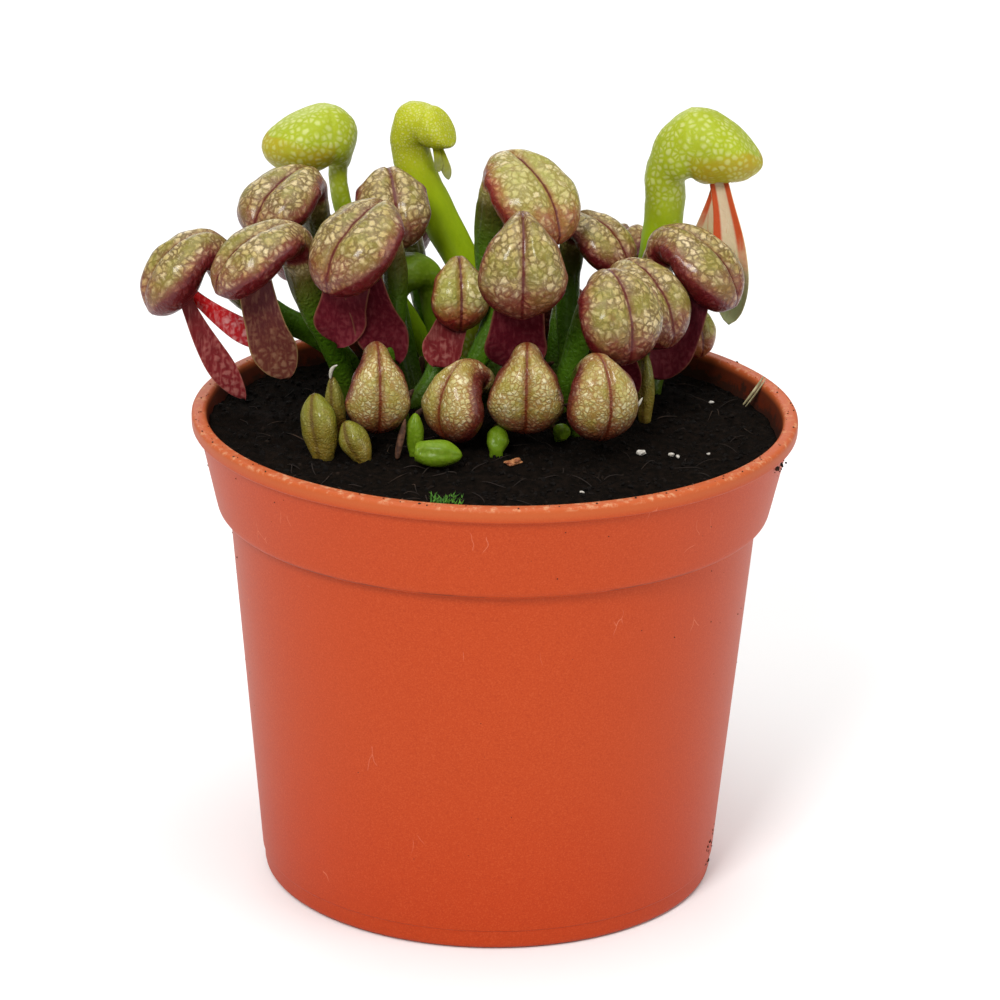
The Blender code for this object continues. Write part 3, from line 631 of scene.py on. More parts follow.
def material_of(finish: "NettedSkin | SpottedSkin | TailSkin | PotPlastic | Matter") -> bpy.types.Material:
    """The finish's material, made once.

    Args:
        finish: The finish.

    Returns:
        Its material.
    """
    if finish.name not in _made:
        _made[finish.name] = finish.material()
    return _made[finish.name]


# ---------------------------------------------------------------- mesh helpers


def deselect() -> None:
    """Leaves edit mode and deselects every object."""
    if bpy.context.mode != "OBJECT":
        bpy.ops.object.mode_set(mode="OBJECT")
    bpy.ops.object.select_all(action="DESELECT")


def choose(obj: bpy.types.Object) -> None:
    """Makes obj the only selected object, and the active one."""
    deselect()
    obj.select_set(True)
    bpy.context.view_layer.objects.active = obj


def tidy_surface(obj: bpy.types.Object, merge: float = 2e-6) -> None:
    """Merges what coincides, turns all faces outwards and shades the mesh smooth.

    Args:
        obj: The piece.
        merge: The distance within which points are merged, in metres.
    """
    choose(obj)
    bpy.ops.object.mode_set(mode="EDIT")
    bpy.ops.mesh.select_all(action="SELECT")
    bpy.ops.mesh.remove_doubles(threshold=merge)
    bpy.ops.mesh.normals_make_consistent(inside=False)
    bpy.ops.object.mode_set(mode="OBJECT")
    bpy.ops.object.shade_smooth()


def rolled_grid(name: str, points: np.ndarray, values: "dict[str, np.ndarray]") -> bpy.types.Object:
    """A grid rolled up into a closed skin.

    Args:
        name: The piece's name.
        points: Places in millimetres, one row for each ring; the first and last rings are poles.
        values: Numbers that the mesh carries, one for each place.

    Returns:
        The piece.
    """
    rows, columns = points.shape[:2]
    deselect()
    bpy.ops.mesh.primitive_grid_add(x_subdivisions=columns - 1, y_subdivisions=rows - 1, size=2.0)
    obj = bpy.context.object
    obj.name = obj.data.name = name
    mesh = obj.data
    flat = np.empty(len(mesh.vertices) * 3, np.float32)
    mesh.vertices.foreach_get("co", flat)
    flat = flat.reshape(-1, 3)
    column = np.rint((flat[:, 0] + 1) / 2 * (columns - 1)).astype(int)
    row = np.rint((flat[:, 1] + 1) / 2 * (rows - 1)).astype(int)
    mesh.vertices.foreach_set("co", (points[row, column] * MM).astype(np.float32).ravel())
    for key, numbers in values.items():
        layer = mesh.attributes.new(key, "FLOAT", "POINT")
        layer.data.foreach_set("value", numbers[row, column].astype(np.float32))
    mesh.update()
    tidy_surface(obj)
    return obj


def joined(name: str, objects: "list[bpy.types.Object]") -> bpy.types.Object:
    """Joins objects into one.

    Args:
        name: The name of the result.
        objects: What is joined, into the first of them.

    Returns:
        The joined object.
    """
    choose(objects[0])
    for obj in objects:
        obj.select_set(True)
    if len(objects) > 1:
        bpy.ops.object.join()
    objects[0].name = objects[0].data.name = name
    return objects[0]


def many(name: str, template: bpy.types.Object, places: "list[np.ndarray]") -> bpy.types.Object:
    """One mesh of many copies of a small template.

    Args:
        name: The piece's name.
        template: The shape that repeats; it is removed.
        places: For each copy, the template's points where they lie, in metres.

    Returns:
        The piece.
    """
    faces = [tuple(face.vertices) for face in template.data.polygons]
    count = len(template.data.vertices)
    bpy.data.objects.remove(template)
    mesh = bpy.data.meshes.new(name)
    all_faces = [tuple(index + k * count for index in face) for k in range(len(places)) for face in faces]
    mesh.from_pydata(np.concatenate(places).tolist(), [], all_faces)
    obj = bpy.data.objects.new(name, mesh)
    bpy.context.scene.collection.objects.link(obj)
    return obj


def template_points(obj: bpy.types.Object) -> np.ndarray:
    """The points of a template.

    Args:
        obj: The template.

    Returns:
        Its points, one row each.
    """
    flat = np.empty(len(obj.data.vertices) * 3, np.float32)
    obj.data.vertices.foreach_get("co", flat)
    return flat.reshape(-1, 3).astype(float)


def ball(cuts: int, radius: float = 1.0) -> "tuple[bpy.types.Object, np.ndarray]":
    """A ball to copy or to reshape.

    Args:
        cuts: How finely it is divided.
        radius: Its radius.

    Returns:
        The ball and its points.
    """
    deselect()
    bpy.ops.mesh.primitive_ico_sphere_add(subdivisions=cuts, radius=radius, location=(0, 0, 0))
    return bpy.context.object, template_points(bpy.context.object)


def outline(centre: Vector, radial: Vector, heights: np.ndarray, side: Vector,
            widths: np.ndarray) -> np.ndarray:
    """A ring of points round a centre.

    Args:
        centre: The centre.
        radial: The direction of the heights.
        heights: How far along radial each point lies.
        side: The direction of the widths.
        widths: How far along side each point lies.

    Returns:
        The points, one row each.
    """
    return (np.array(centre)[None] + np.array(radial)[None] * heights[:, None]
            + np.array(side)[None] * widths[:, None])


def curve_at(pairs: "Sequence[Pair]", x: float) -> float:
    """A smooth curve through pairs.

    Args:
        pairs: The places that it runs through, in rising order.
        x: Where it is read.

    Returns:
        Its value at x.
    """
    last = len(pairs) - 1
    i = 0
    while i < last - 1 and pairs[i + 1][0] <= x:
        i += 1

    def slope(k: int) -> float:
        """The curve's slope at pair k."""
        a, b = pairs[max(k - 1, 0)], pairs[min(k + 1, last)]
        return (b[1] - a[1]) / (b[0] - a[0])

    width = pairs[i + 1][0] - pairs[i][0]
    t = (x - pairs[i][0]) / width
    return (
        (2 * t**3 - 3 * t**2 + 1) * pairs[i][1]
        + (t**3 - 2 * t**2 + t) * width * slope(i)
        + (3 * t**2 - 2 * t**3) * pairs[i + 1][1]
        + (t**3 - t**2) * width * slope(i + 1)
    )


def smooth(x: "float | np.ndarray", low: float, high: float) -> "float | np.ndarray":
    """A smooth step from 0 at low to 1 at high."""
    t = np.clip((x - low) / (high - low), 0.0, 1.0)
    return t * t * (3 - 2 * t)


def bezier(a: Vector, b: Vector, c: Vector, d: Vector, t: float) -> Vector:
    """A cubic curve's point at t."""
    return a * (1 - t) ** 3 + b * (3 * (1 - t) ** 2 * t) + c * (3 * (1 - t) * t**2) + d * t**3


def seat(obj: bpy.types.Object, finish: object, slot: str, *nodes: str) -> bpy.types.Object:
    """Lets a piece ride on the body, take its finish and stand for CAD nodes.

    Args:
        obj: The piece.
        finish: Its finish, or None where it is dressed already.
        slot: A material slot name; not used.
        nodes: The CAD nodes that it stands for.

    Returns:
        The piece.
    """
    if finish is not None:
        obj.data.materials.clear()
        obj.data.materials.append(material_of(finish))
    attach(obj, BODY)
    if nodes:
        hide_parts(*nodes)
    LOG.info("%s: %d faces", obj.name, len(obj.data.polygons))
    return obj


# ---------------------------------------------------------------- pot


@dataclass
class Pot:
    """The plastic pot: a turned shell with a collar and a rolled lip. Sizes in millimetres."""

    base_radius: float = 34.1
    body_top: Pair = (39.4, 57.4)
    collar_foot: Pair = (41.3, 58.8)
    collar_top: Pair = (43.9, 70.1)
    lip_radius: float = 45.0
    height: float = 72.3
    floor: float = 1.4
    wall: "tuple[Pair, ...]" = ((32.8, 1.4), (38.0, 56.0), (39.9, 59.2), (42.9, 71.8))
    steps: int = 180
    drain_holes: int = 6
    drain_radius: float = 3.0
    drain_circle: float = 21.0
    drain_turn: float = 0.06

    def profile(self) -> "list[tuple[float, float, float]]":
        """The pot's outline, from the axis underneath to the axis inside.

        Returns:
            Radius, height and rounding of each corner.
        """
        lip_out, lip_in = self.lip_radius, self.wall[-1][0]
        return [
            (0.0, 0.35, 0.0),
            (self.base_radius - 6.0, 0.35, 0.5),
            (self.base_radius - 5.0, 0.0, 0.4),
            (self.base_radius, 0.0, 0.9),
            (self.base_radius + 0.2, 2.9, 0.1),
            (self.base_radius + 0.42, 3.1, 0.1),
            (self.body_top[0] - 0.02, self.body_top[1] - 0.2, 0.25),
            (self.collar_foot[0] - 0.2, self.collar_foot[1] - 1.1, 0.9),
            (self.collar_foot[0] + 0.15, self.collar_foot[1] + 0.3, 0.3),
            (self.collar_top[0], self.collar_top[1] - 0.1, 0.25),
            (lip_out - 0.05, self.collar_top[1] + 0.05, 0.4),
            (lip_out, self.height, 0.75),
            (lip_in, self.height, 0.6),
            (self.wall[2][0], self.wall[2][1], 1.0),
            (self.wall[1][0], self.wall[1][1], 1.0),
            (self.wall[0][0], self.floor, 1.0),
            (0.0, self.floor, 0.0),
        ]

    @staticmethod
    def rounded(corners: "list[tuple[float, float, float]]", cuts: int = 4) -> "list[Vector]":
        """The outline with each corner turned into a short arc.

        Args:
            corners: Radius, height and rounding of each corner.
            cuts: The arc's number of steps.

        Returns:
            Points in the XZ plane.
        """
        places = [Vector((r, 0.0, z)) for r, z, _ in corners]
        points = [places[0]]
        for before, corner, after, (_, _, size) in zip(places, places[1:], places[2:], corners[1:]):
            back, on = before - corner, after - corner
            reach = min(size, 0.45 * back.length, 0.45 * on.length)
            start, end = corner + back.normalized() * reach, corner + on.normalized() * reach
            for i in range(cuts + 1):
                t = i / cuts
                points.append(start * (1 - t) ** 2 + corner * (2 * t * (1 - t)) + end * t**2)
        points.append(places[-1])
        return points

    def build(self) -> bpy.types.Object:
        """Turns the outline round the axis and drills the drain holes.

        Returns:
            The pot.
        """
        deselect()
        points = self.rounded(self.profile())
        bpy.ops.mesh.primitive_circle_add(vertices=3, radius=MM, location=(0, 0, 0))
        pot = bpy.context.object
        bpy.ops.object.mode_set(mode="EDIT")
        bpy.ops.mesh.select_all(action="SELECT")
        bpy.ops.mesh.merge(type="CENTER")
        bpy.ops.transform.translate(value=tuple(points[0] * MM))
        for before, after in zip(points, points[1:]):
            bpy.ops.mesh.extrude_region_move(TRANSFORM_OT_translate={"value": tuple((after - before) * MM)})
        bpy.ops.mesh.select_all(action="SELECT")
        bpy.ops.mesh.spin(steps=self.steps, angle=math.tau, center=(0, 0, 0), axis=(0, 0, 1))
        tidy_surface(pot)
        for i in range(self.drain_holes):
            self.drill(pot, math.tau * i / self.drain_holes + self.drain_turn)
        choose(pot)
        bpy.ops.object.shade_smooth_by_angle(angle=math.radians(50))
        pot.name = pot.data.name = "nursery_pot"
        return seat(pot, PotPlastic(), "plastic", "pot")

    def drill(self, pot: bpy.types.Object, angle: float) -> None:
        """Cuts one drain hole.

        Args:
            pot: The pot.
            angle: Where the hole is, round the axis.
        """
        deselect()
        bpy.ops.mesh.primitive_cylinder_add(
            vertices=32, radius=self.drain_radius * MM, depth=4 * self.floor * MM,
            location=(self.drain_circle * MM * math.cos(angle), self.drain_circle * MM * math.sin(angle), MM))
        drill = bpy.context.object
        choose(pot)
        cut = pot.modifiers.new("drain", "BOOLEAN")
        cut.operation = "DIFFERENCE"
        cut.object = drill
        bpy.ops.object.modifier_apply(modifier=cut.name)
        bpy.data.objects.remove(drill)


# ---------------------------------------------------------------- soil


@dataclass
class PeatBed:
    """The peat, its crumbs and its fibres. Sizes in millimetres."""

    level: float = 68.3
    mound: float = 1.0
    mound_width: float = 24.0
    left_bank: float = 1.6
    crown_centre: Pair = (1.0, 13.0)
    crown_radius: float = 19.0
    crown_cover: float = 0.7
    floor: float = 1.7
    wall_gap: float = 0.12
    around: int = 220
    rings: int = 66
    crumbs: int = 5200
    fibres: int = 130
    seed: int = 11
    pot: Pot = field(default_factory=Pot)

    def height(self, x: float, y: float) -> float:
        """The surface without its grain.

        Args:
            x: The place to the right.
            y: The place to the back.

        Returns:
            The height there.
        """
        mound = self.mound * math.exp(-(math.hypot(x, y) / self.mound_width) ** 2)
        bank = self.left_bank * min(max((-x - 22) / 20, 0), 1) ** 1.5
        return self.level + mound + bank

    def surface(self, x: float, y: float) -> float:
        """The surface with its lumps, a little over the crown.

        Args:
            x: The place to the right.
            y: The place to the back.

        Returns:
            The height there.
        """
        away = math.hypot(x - self.crown_centre[0], y - self.crown_centre[1])
        cover = self.crown_cover * float(smooth(-away, -self.crown_radius - 3, -self.crown_radius))
        coarse = noise.fractal(Vector((x, y, 1.7)) / 5.0, 0.8, 2.0, 3)
        fine = noise.fractal(Vector((x, y, 8.1)) / 1.1, 0.7, 2.1, 3)
        return self.height(x, y) + cover + 0.55 * coarse + 0.30 * fine

    def wall_radius(self, z: float) -> float:
        """The inside of the pot's wall, less the gap.

        Args:
            z: A height.

        Returns:
            The radius at that height.
        """
        for (r0, z0), (r1, z1) in zip(self.pot.wall, self.pot.wall[1:]):
            if z <= z1:
                break
        return r0 + (r1 - r0) * (z - z0) / (z1 - z0) - self.wall_gap

    def build_bed(self) -> bpy.types.Object:
        """Makes the bed as one closed body.

        Returns:
            The bed.
        """
        angles = np.linspace(0, math.tau, self.around + 1)
        rows: list[list[Point]] = [[(0.0, 0.0, self.floor)] * (self.around + 1)]
        for z in (self.floor, 20.0, 40.0, 56.0, 59.2, 64.0):
            radius = self.wall_radius(z) - 0.2
            rows.append([(radius * math.cos(a), radius * math.sin(a), z) for a in angles])
        for ring in range(self.rings):
            share = 1 - ring / self.rings
            row = []
            for a in angles:
                rim = self.wall_radius(self.height(42 * math.cos(a), 42 * math.sin(a)))
                x, y = rim * share * math.cos(a), rim * share * math.sin(a)
                row.append((x, y, self.surface(x, y)))
            row[-1] = row[0]
            rows.append(row)
        rows.append([(0.0, 0.0, self.surface(0.0, 0.0))] * (self.around + 1))
        bed = rolled_grid("peat_bed", np.array(rows), {})
        return seat(bed, NaturalFinish.PEAT.value, "soil", "soil")

    def scattered(self, rng: random.Random, rim: float) -> Pair:
        """A random place on the bed, within a radius."""
        radius, angle = rim * math.sqrt(rng.random()), rng.random() * math.tau
        return radius * math.cos(angle), radius * math.sin(angle)

    def build_crumbs(self) -> bpy.types.Object:
        """Makes the crumbs that give the surface its grain.

        Returns:
            The crumbs, as one piece.
        """
        rng = random.Random(self.seed)
        template, shape = ball(1)
        places = []
        for _ in range(self.crumbs):
            x, y = self.scattered(rng, 41.6)
            size = 0.13 + 0.42 * rng.random() ** 4
            turn = np.array(Quaternion((rng.gauss(0, 1), rng.gauss(0, 1), rng.gauss(0, 1)),
                                       rng.random() * math.tau).to_matrix())
            stretch = np.array([1.0, 0.6 + 0.5 * rng.random(), 0.5 + 0.3 * rng.random()])
            bumps = 1 + 0.25 * np.array([[rng.uniform(-1, 1)] for _ in shape])
            lump = (shape * bumps * stretch) @ turn.T * size
            places.append((lump + (x, y, self.surface(x, y) + 0.15 * size)) * MM)
        crumbs = many("peat_crumbs", template, places)
        return seat(crumbs, NaturalFinish.CRUMB.value, "soil")

    def strand(self, shape: np.ndarray, path: "list[Vector]", radius: float) -> np.ndarray:
        """Bends the strand template along a path.

        Args:
            shape: The template: x and y are across, z runs from 0 to 1.
            path: Four points of a cubic curve, in millimetres.
            radius: The strand's radius, in millimetres.

        Returns:
            The bent points, in metres.
        """
        out = []
        for x, y, z in shape:
            here = bezier(*path, z)
            along = (bezier(*path, min(z + 0.02, 1.02)) - bezier(*path, z - 0.02)).normalized()
            side = along.cross(Vector((0.0, 0.0, 1.0)))
            side = side.normalized() if side.length > 0.05 else Vector((1.0, 0.0, 0.0))
            taper = radius * (1 - 0.6 * abs(2 * z - 1) ** 3)
            out.append(tuple((here + side * (x * taper) + side.cross(along) * (y * taper)) * MM))
        return np.array(out)

    @staticmethod
    def strand_template(cuts: int = 9) -> bpy.types.Object:
        """A thin upright rod of unit radius and height.

        Args:
            cuts: How many lengths it is cut into.

        Returns:
            The rod.
        """
        deselect()
        bpy.ops.mesh.primitive_cylinder_add(vertices=5, radius=1.0, depth=1.0, location=(0, 0, 0.5))
        rod = bpy.context.object
        bpy.ops.object.transform_apply(location=True, rotation=True, scale=True)
        bpy.ops.object.mode_set(mode="EDIT")
        for cut in range(1, cuts):
            bpy.ops.mesh.select_all(action="SELECT")
            bpy.ops.mesh.bisect(plane_co=(0, 0, cut / cuts), plane_no=(0, 0, 1))
        bpy.ops.object.mode_set(mode="OBJECT")
        return rod

    def build_fibres(self) -> bpy.types.Object:
        """Makes the fine root hairs that lie on the peat.

        Returns:
            The fibres, as one piece.
        """
        rng = random.Random(self.seed + 1)
        template = self.strand_template()
        shape = template_points(template)
        places = []
        for _ in range(self.fibres):
            x, y = self.scattered(rng, 39.0)
            length, turn = rng.uniform(1.5, 5.0), rng.random() * math.tau
            path = []
            for k in range(4):
                px = x + length * k / 3 * math.cos(turn) + rng.uniform(-0.5, 0.5)
                py = y + length * k / 3 * math.sin(turn) + rng.uniform(-0.5, 0.5)
                far = math.hypot(px, py)
                px, py = (px * 41.0 / far, py * 41.0 / far) if far > 41.0 else (px, py)
                arch = (0.1 + 0.5 * rng.random()) * (0 < k < 3) + 0.1
                path.append(Vector((px, py, self.surface(px, py) + arch)))
            places.append(self.strand(shape, path, rng.uniform(0.035, 0.085)))
        fibres = many("root_hairs", template, places)
        return seat(fibres, NaturalFinish.ROOT_HAIR.value, "soil")

    def build(self) -> None:
        """Builds the bed, its crumbs and its fibres."""
        self.build_bed()
        self.build_crumbs()
        self.build_fibres()


# ---------------------------------------------------------------- hooded leaves


@dataclass(frozen=True)
class Tail:
    """One lobe of a leaf's forked tail. Sizes in millimetres, angles in degrees."""

    tip: Point
    half_width: float
    face: float
    finish: TailFinish = TailFinish.MAROON
    root: float = 0.42
    shift: float = 0.0


@dataclass
class HoodedLeaf:
    """One pitcher: its tube, its hood and its tail, as one piece. Sizes in millimetres, angles in degrees."""

    node: str
    foot: Pair
    mouth: Point
    heading: float
    pitch: float
    size: float
    wide: float = 1.0
    high: float = 1.0
    tube: float = 1.0
    base: float = 1.5
    rise: float = 70.0
    reach: Pair = (0.38, 0.38)
    droop: float = 0.10
    flare: float = 1.2
    point: float = 0.0
    back: "tuple[Pair, ...]" = ()
    crest: float = 1.0
    deep: float = 1.0
    inner: float = 0.045
    blush: float = 1.0
    finish: LeafFinish = LeafFinish.CRIMSON
    slot: str = "red_leaf"
    tails: "tuple[Tail, ...]" = ()

    AROUND = 56
    FAN_REACH = ((0, 0.37), (30, 0.43), (60, 0.48), (90, 0.50))
    FAN_HALF_WIDTH = ((0, 0.19), (25, 0.25), (50, 0.335), (75, 0.41), (90, 0.435))
    FAN_RIDGE = ((0, 0.0), (25, 0.25), (50, 0.50), (75, 0.35), (90, 0.2))
    FAN_INNER = 0.045
    TUBE_BLEND = 60
    WIDTH_BLEND = 1.6
    PLAIN_FOLD = 0.012
    RED_FOLD = 0.058
    PIT_DEPTH = 0.16
    PIT_PLACE = 0.20
    PIT_SIZE = (0.105, 0.46)
    ROOT_LIFT = 0.35
    ROOT_DEPTH = 1.6
    SWELL = 0.22
    HOOD_TOP = ((0, 0.50), (0.15, 0.495), (0.30, 0.46), (0.43, 0.39), (0.54, 0.285), (0.605, 0.165),
                (0.635, 0.05))
    HOOD_BOTTOM = ((0, 0.045), (0.12, -0.05), (0.28, -0.12), (0.43, -0.135), (0.54, -0.11), (0.605, -0.05),
                   (0.635, 0.02))
    HOOD_WIDTH = ((0, 0.435), (0.15, 0.465), (0.30, 0.46), (0.43, 0.405), (0.54, 0.31), (0.605, 0.18),
                  (0.635, 0.06))
    HOOD_RIDGE = ((0, 0.2), (0.15, 0.05), (0.3, -0.05), (0.63, 0.0))
    HOOD_LENGTH = 0.635
    RIDGE_SHARE = 0.8
    POINTED_SHARE = 0.24
    TUBE_RINGS = 30
    FAN_RINGS = 18
    HOOD_RINGS = 34

    def axes(self) -> "tuple[Vector, Vector, Vector]":
        """The hood's own directions.

        Returns:
            Unit vectors ahead, up and sideways.
        """
        turn, tip = math.radians(self.heading), math.radians(self.pitch)
        ahead = Vector((math.cos(turn) * math.cos(tip), math.sin(turn) * math.cos(tip), -math.sin(tip)))
        up = Vector((math.cos(turn) * math.sin(tip), math.sin(turn) * math.sin(tip), math.cos(tip)))
        return ahead, up, up.cross(ahead)

    def ring(self, centre: Vector, radial: Vector, side: Vector, half_height: float, half_width: float,
             ridge: float, groove: float = 0.0) -> np.ndarray:
        """One ring of the skin, which starts and ends on its back line.

        Args:
            centre: The ring's centre.
            radial: The unit vector towards the back line.
            side: The unit vector sideways.
            half_height: Half its size along radial.
            half_width: Half its size along side.
            ridge: How much narrower it is towards the back line.
            groove: The depth of the fold along the back line.

        Returns:
            Its points.
        """
        angle = np.linspace(0, math.tau, self.AROUND + 1)
        width = half_width * np.sin(angle) * (1 - ridge * self.RIDGE_SHARE * np.cos(angle))
        near = np.exp(-((np.minimum(angle, math.tau - angle) / 0.16) ** 2))
        cheeks = np.exp(-(((np.minimum(angle, math.tau - angle) - 0.62) / 0.42) ** 2))
        height = half_height * np.cos(angle) - groove * near + 0.35 * groove * cheeks
        return outline(centre, radial, height, side, width)

    def fan_ring(self, angle: float) -> np.ndarray:
        """A ring of the bend between tube and hood.

        Args:
            angle: Where it is about the mouth, from 0 at the tube to 90 at the hood.

        Returns:
            Its points.
        """
        ahead, up, side = self.axes()
        radians = math.radians(angle)
        height = 1 + (self.high - 1) * math.sin(radians) ** 2
        tube = self.tube + (1 - self.tube) * min(angle, self.TUBE_BLEND) / self.TUBE_BLEND
        inner = (self.inner + (self.FAN_INNER - self.inner) * angle / 90) * self.size
        outer = inner + (curve_at(self.FAN_REACH, angle) * self.size * height - inner) * tube
        if self.back:
            outer = curve_at(self.back, angle) * self.size
        narrowing = math.sin(math.radians(angle * 1.6)) if angle < 56 else 1.0
        narrowing *= 1.0 if angle < 60 else 1 - (angle - 60) / 60
        broad = 1 + (self.tube - 1) * (1 - angle / 90) ** self.WIDTH_BLEND
        width = curve_at(self.FAN_HALF_WIDTH, angle) * self.size * self.wide * broad
        width *= 1 - self.POINTED_SHARE * self.point * narrowing
        ridge = curve_at(self.FAN_RIDGE, angle) * (1 + 0.3 * self.point) * self.crest
        radial = up * math.sin(radians) - ahead * math.cos(radians)
        centre = Vector(self.mouth) + radial * (outer + inner) / 2
        groove = self.fold() * float(smooth(angle, 20, 65))
        return self.ring(centre, radial, side, (outer - inner) / 2, width, ridge, groove)

    def plain(self) -> bool:
        """Whether the leaf is one of the green ones."""
        return self.finish in (LeafFinish.LIME, LeafFinish.GREEN, LeafFinish.YELLOW)

    def fold(self) -> float:
        """The depth of the fold along the hood's back."""
        return (self.PLAIN_FOLD if self.plain() else self.RED_FOLD) * self.size

    def hood_ring(self, step: float) -> np.ndarray:
        """A ring of the hood.

        Args:
            step: How far ahead of the mouth it is, as a share of the hood's size.

        Returns:
            Its points.
        """
        ahead, up, side = self.axes()
        size = self.size
        drop = self.droop * (step / self.HOOD_LENGTH) ** 2 * size
        top = curve_at(self.HOOD_TOP, step) * size * self.high - drop
        bottom = curve_at(self.HOOD_BOTTOM, step)
        bottom = bottom * size * (self.deep if bottom < 0 else 1) - drop
        width = curve_at(self.HOOD_WIDTH, step) * size * self.wide
        if step < 0.2:
            width *= 1 - self.POINTED_SHARE / 2 * self.point * (1 - step / 0.2)
        else:
            width *= 1 + 0.1 * self.point * math.sin(math.pi * (step - 0.2) / (self.HOOD_LENGTH - 0.2))
        tilt = math.atan(2 * self.droop * step / self.HOOD_LENGTH**2)
        radial = up * math.cos(tilt) + ahead * math.sin(tilt)
        centre = Vector(self.mouth) + ahead * (step * size) + up * (top + bottom) / 2
        groove = self.fold() * (1 - float(smooth(step, 0.5, self.HOOD_LENGTH)) * 0.75)
        ridge = curve_at(self.HOOD_RIDGE, step)
        ring = self.ring(centre, radial, side, (top - bottom) / 2, width, ridge, groove)
        return ring + np.array(up)[None] * (self.pit(step) * self.PIT_DEPTH * size)[:, None]

    def pit(self, step: float) -> np.ndarray:
        """The opening under the hood.

        Args:
            step: How far ahead of the mouth the ring is.

        Returns:
            How deep each point of the ring lies in it, from 0 to 1.
        """
        angle = np.linspace(-math.pi, math.pi, self.AROUND + 1)
        angle = np.abs(np.roll(angle[:-1], self.AROUND // 2))
        away = np.hypot((step - self.PIT_PLACE) / self.PIT_SIZE[0], (math.pi - angle) / self.PIT_SIZE[1])
        pit = 1 - smooth(away, 0.72, 1.05)
        return np.append(pit, pit[0])

    def tube_rings(self, bed: PeatBed, first: np.ndarray) -> "tuple[list[np.ndarray], list[float]]":
        """The tube's rings, from inside the peat up to the hood's first ring.

        Args:
            bed: The peat.
            first: The ring that the tube runs into.

        Returns:
            The rings, and how far down the tube each lies.
        """
        ahead, up, side = self.axes()
        back_point, front_point = Vector(first[0]), Vector(first[self.AROUND // 2])
        top = (back_point + front_point) / 2
        top_half = (back_point - front_point).length / 2
        top_width = curve_at(self.FAN_HALF_WIDTH, 0) * self.size * self.wide * self.tube
        x, y = self.foot
        foot = Vector((x, y, bed.height(x, y) + self.ROOT_LIFT))
        span = (top - foot).length
        out = ((top - foot) * Vector((1, 1, 0))).normalized()
        rise = math.radians(self.rise)
        start = foot + (out * math.cos(rise) + Vector((0, 0, math.sin(rise)))) * span * self.reach[0]
        end = top - up * span * self.reach[1]
        rings, shares = [], []
        for i in range(self.TUBE_RINGS):
            t = i / self.TUBE_RINGS
            centre = bezier(foot, start, end, top, t)
            along = (bezier(foot, start, end, top, t + 0.001) - centre).normalized()
            if i == 0:
                along = Vector((0, 0, 1))
            across = (side - along * side.dot(along)).normalized()
            back = along.cross(across)
            if back.dot(ahead) > 0.2:
                back = -back
            share = t**self.flare
            half = self.base + (top_half - self.base) * share
            width = self.base + (top_width - self.base) * share
            rings.append(self.ring(centre, back, across, half, width, 0.0))
            shares.append(1 - t)
        below = rings[0] - np.array([0.0, 0.0, self.ROOT_DEPTH])
        pole = np.repeat(below.mean(axis=0)[None], self.AROUND + 1, axis=0)
        return [pole, below, *rings], [1.0, 1.0, *shares]

    def build(self, bed: PeatBed) -> bpy.types.Object:
        """Builds the leaf.

        Args:
            bed: The peat that it grows from.

        Returns:
            The leaf.
        """
        fan = [self.fan_ring(90 * i / self.FAN_RINGS) for i in range(self.FAN_RINGS + 1)]
        rings, tube = self.tube_rings(bed, fan[0])
        down = (1 - np.cos(np.linspace(0, math.tau, self.AROUND + 1))) / 2
        low = 1.4 * smooth(down, 0.16, 0.64)
        zero = down * 0.0
        blush = [zero] * len(rings)
        for i in range(self.FAN_RINGS + 1):
            share = i / self.FAN_RINGS
            bend = low + 0.35 * (1 - share)
            blush.append(bend * share**3 * 0.8 if self.plain() else bend)
        rings += fan
        mouth = [zero] * len(rings)
        lowered = 0.35 + 0.65 * min(self.pitch / 45, 1)
        for i in range(1, self.HOOD_RINGS + 1):
            step = self.HOOD_LENGTH * (1 - (1 - i / self.HOOD_RINGS) ** 1.5)
            rings.append(self.hood_ring(step))
            nose = float(smooth(step / self.HOOD_LENGTH, 0.45, 1.05))
            blush.append(low + 0.9 * nose * lowered)
            # The mouth values mark the dent under the hood, which the skins paint dark as the painted shade
            # of its hollow.
            mouth.append(self.pit(step))
        rings.append(np.repeat(rings[-1].mean(axis=0)[None], self.AROUND + 1, axis=0))
        blush.append(blush[-1])
        mouth.append(mouth[-1])
        tube += [0.0] * (len(rings) - len(tube))
        points = np.array(rings)
        tube_values = np.repeat(np.array(tube)[:, None], self.AROUND + 1, axis=1)
        rib = np.linalg.norm(points - points[:, :1], axis=2) + 3.0 * tube_values
        points = self.roughened(points, tube_values)
        values = {"tube": tube_values, "blush": np.clip(np.array(blush) * self.blush, 0, 1.4), "rib": rib,
                  "mouth": np.array(mouth)}
        leaf = rolled_grid(self.node + "_skin", points, values)
        leaf.data.materials.append(material_of(self.finish.value))
        lobes = [self.build_tail(tail) for tail in self.tails]
        leaf = joined(self.node + "_leaf", [leaf, *lobes])
        return seat(leaf, None, self.slot, self.node)

    def roughened(self, points: np.ndarray, tube: np.ndarray) -> np.ndarray:
        """Moves the skin a little in and out, so that no two leaves swell alike.

        Args:
            points: The skin's places.
            tube: How far down the tube each lies.

        Returns:
            The moved places.
        """
        middle = points[:, :-1].mean(axis=1, keepdims=True)
        outward = points - middle
        length = np.linalg.norm(outward, axis=2, keepdims=True)
        outward = outward / np.maximum(length, 1e-6)
        swell = np.array([[noise.noise(Vector(p) / 3.2) + 0.5 * noise.noise(Vector(p) / 1.4) for p in row]
                          for row in points])
        amount = self.SWELL * swell * np.clip(length[..., 0] / 1.5, 0, 1) * (1 - 0.6 * tube)
        return points + outward * amount[..., None]

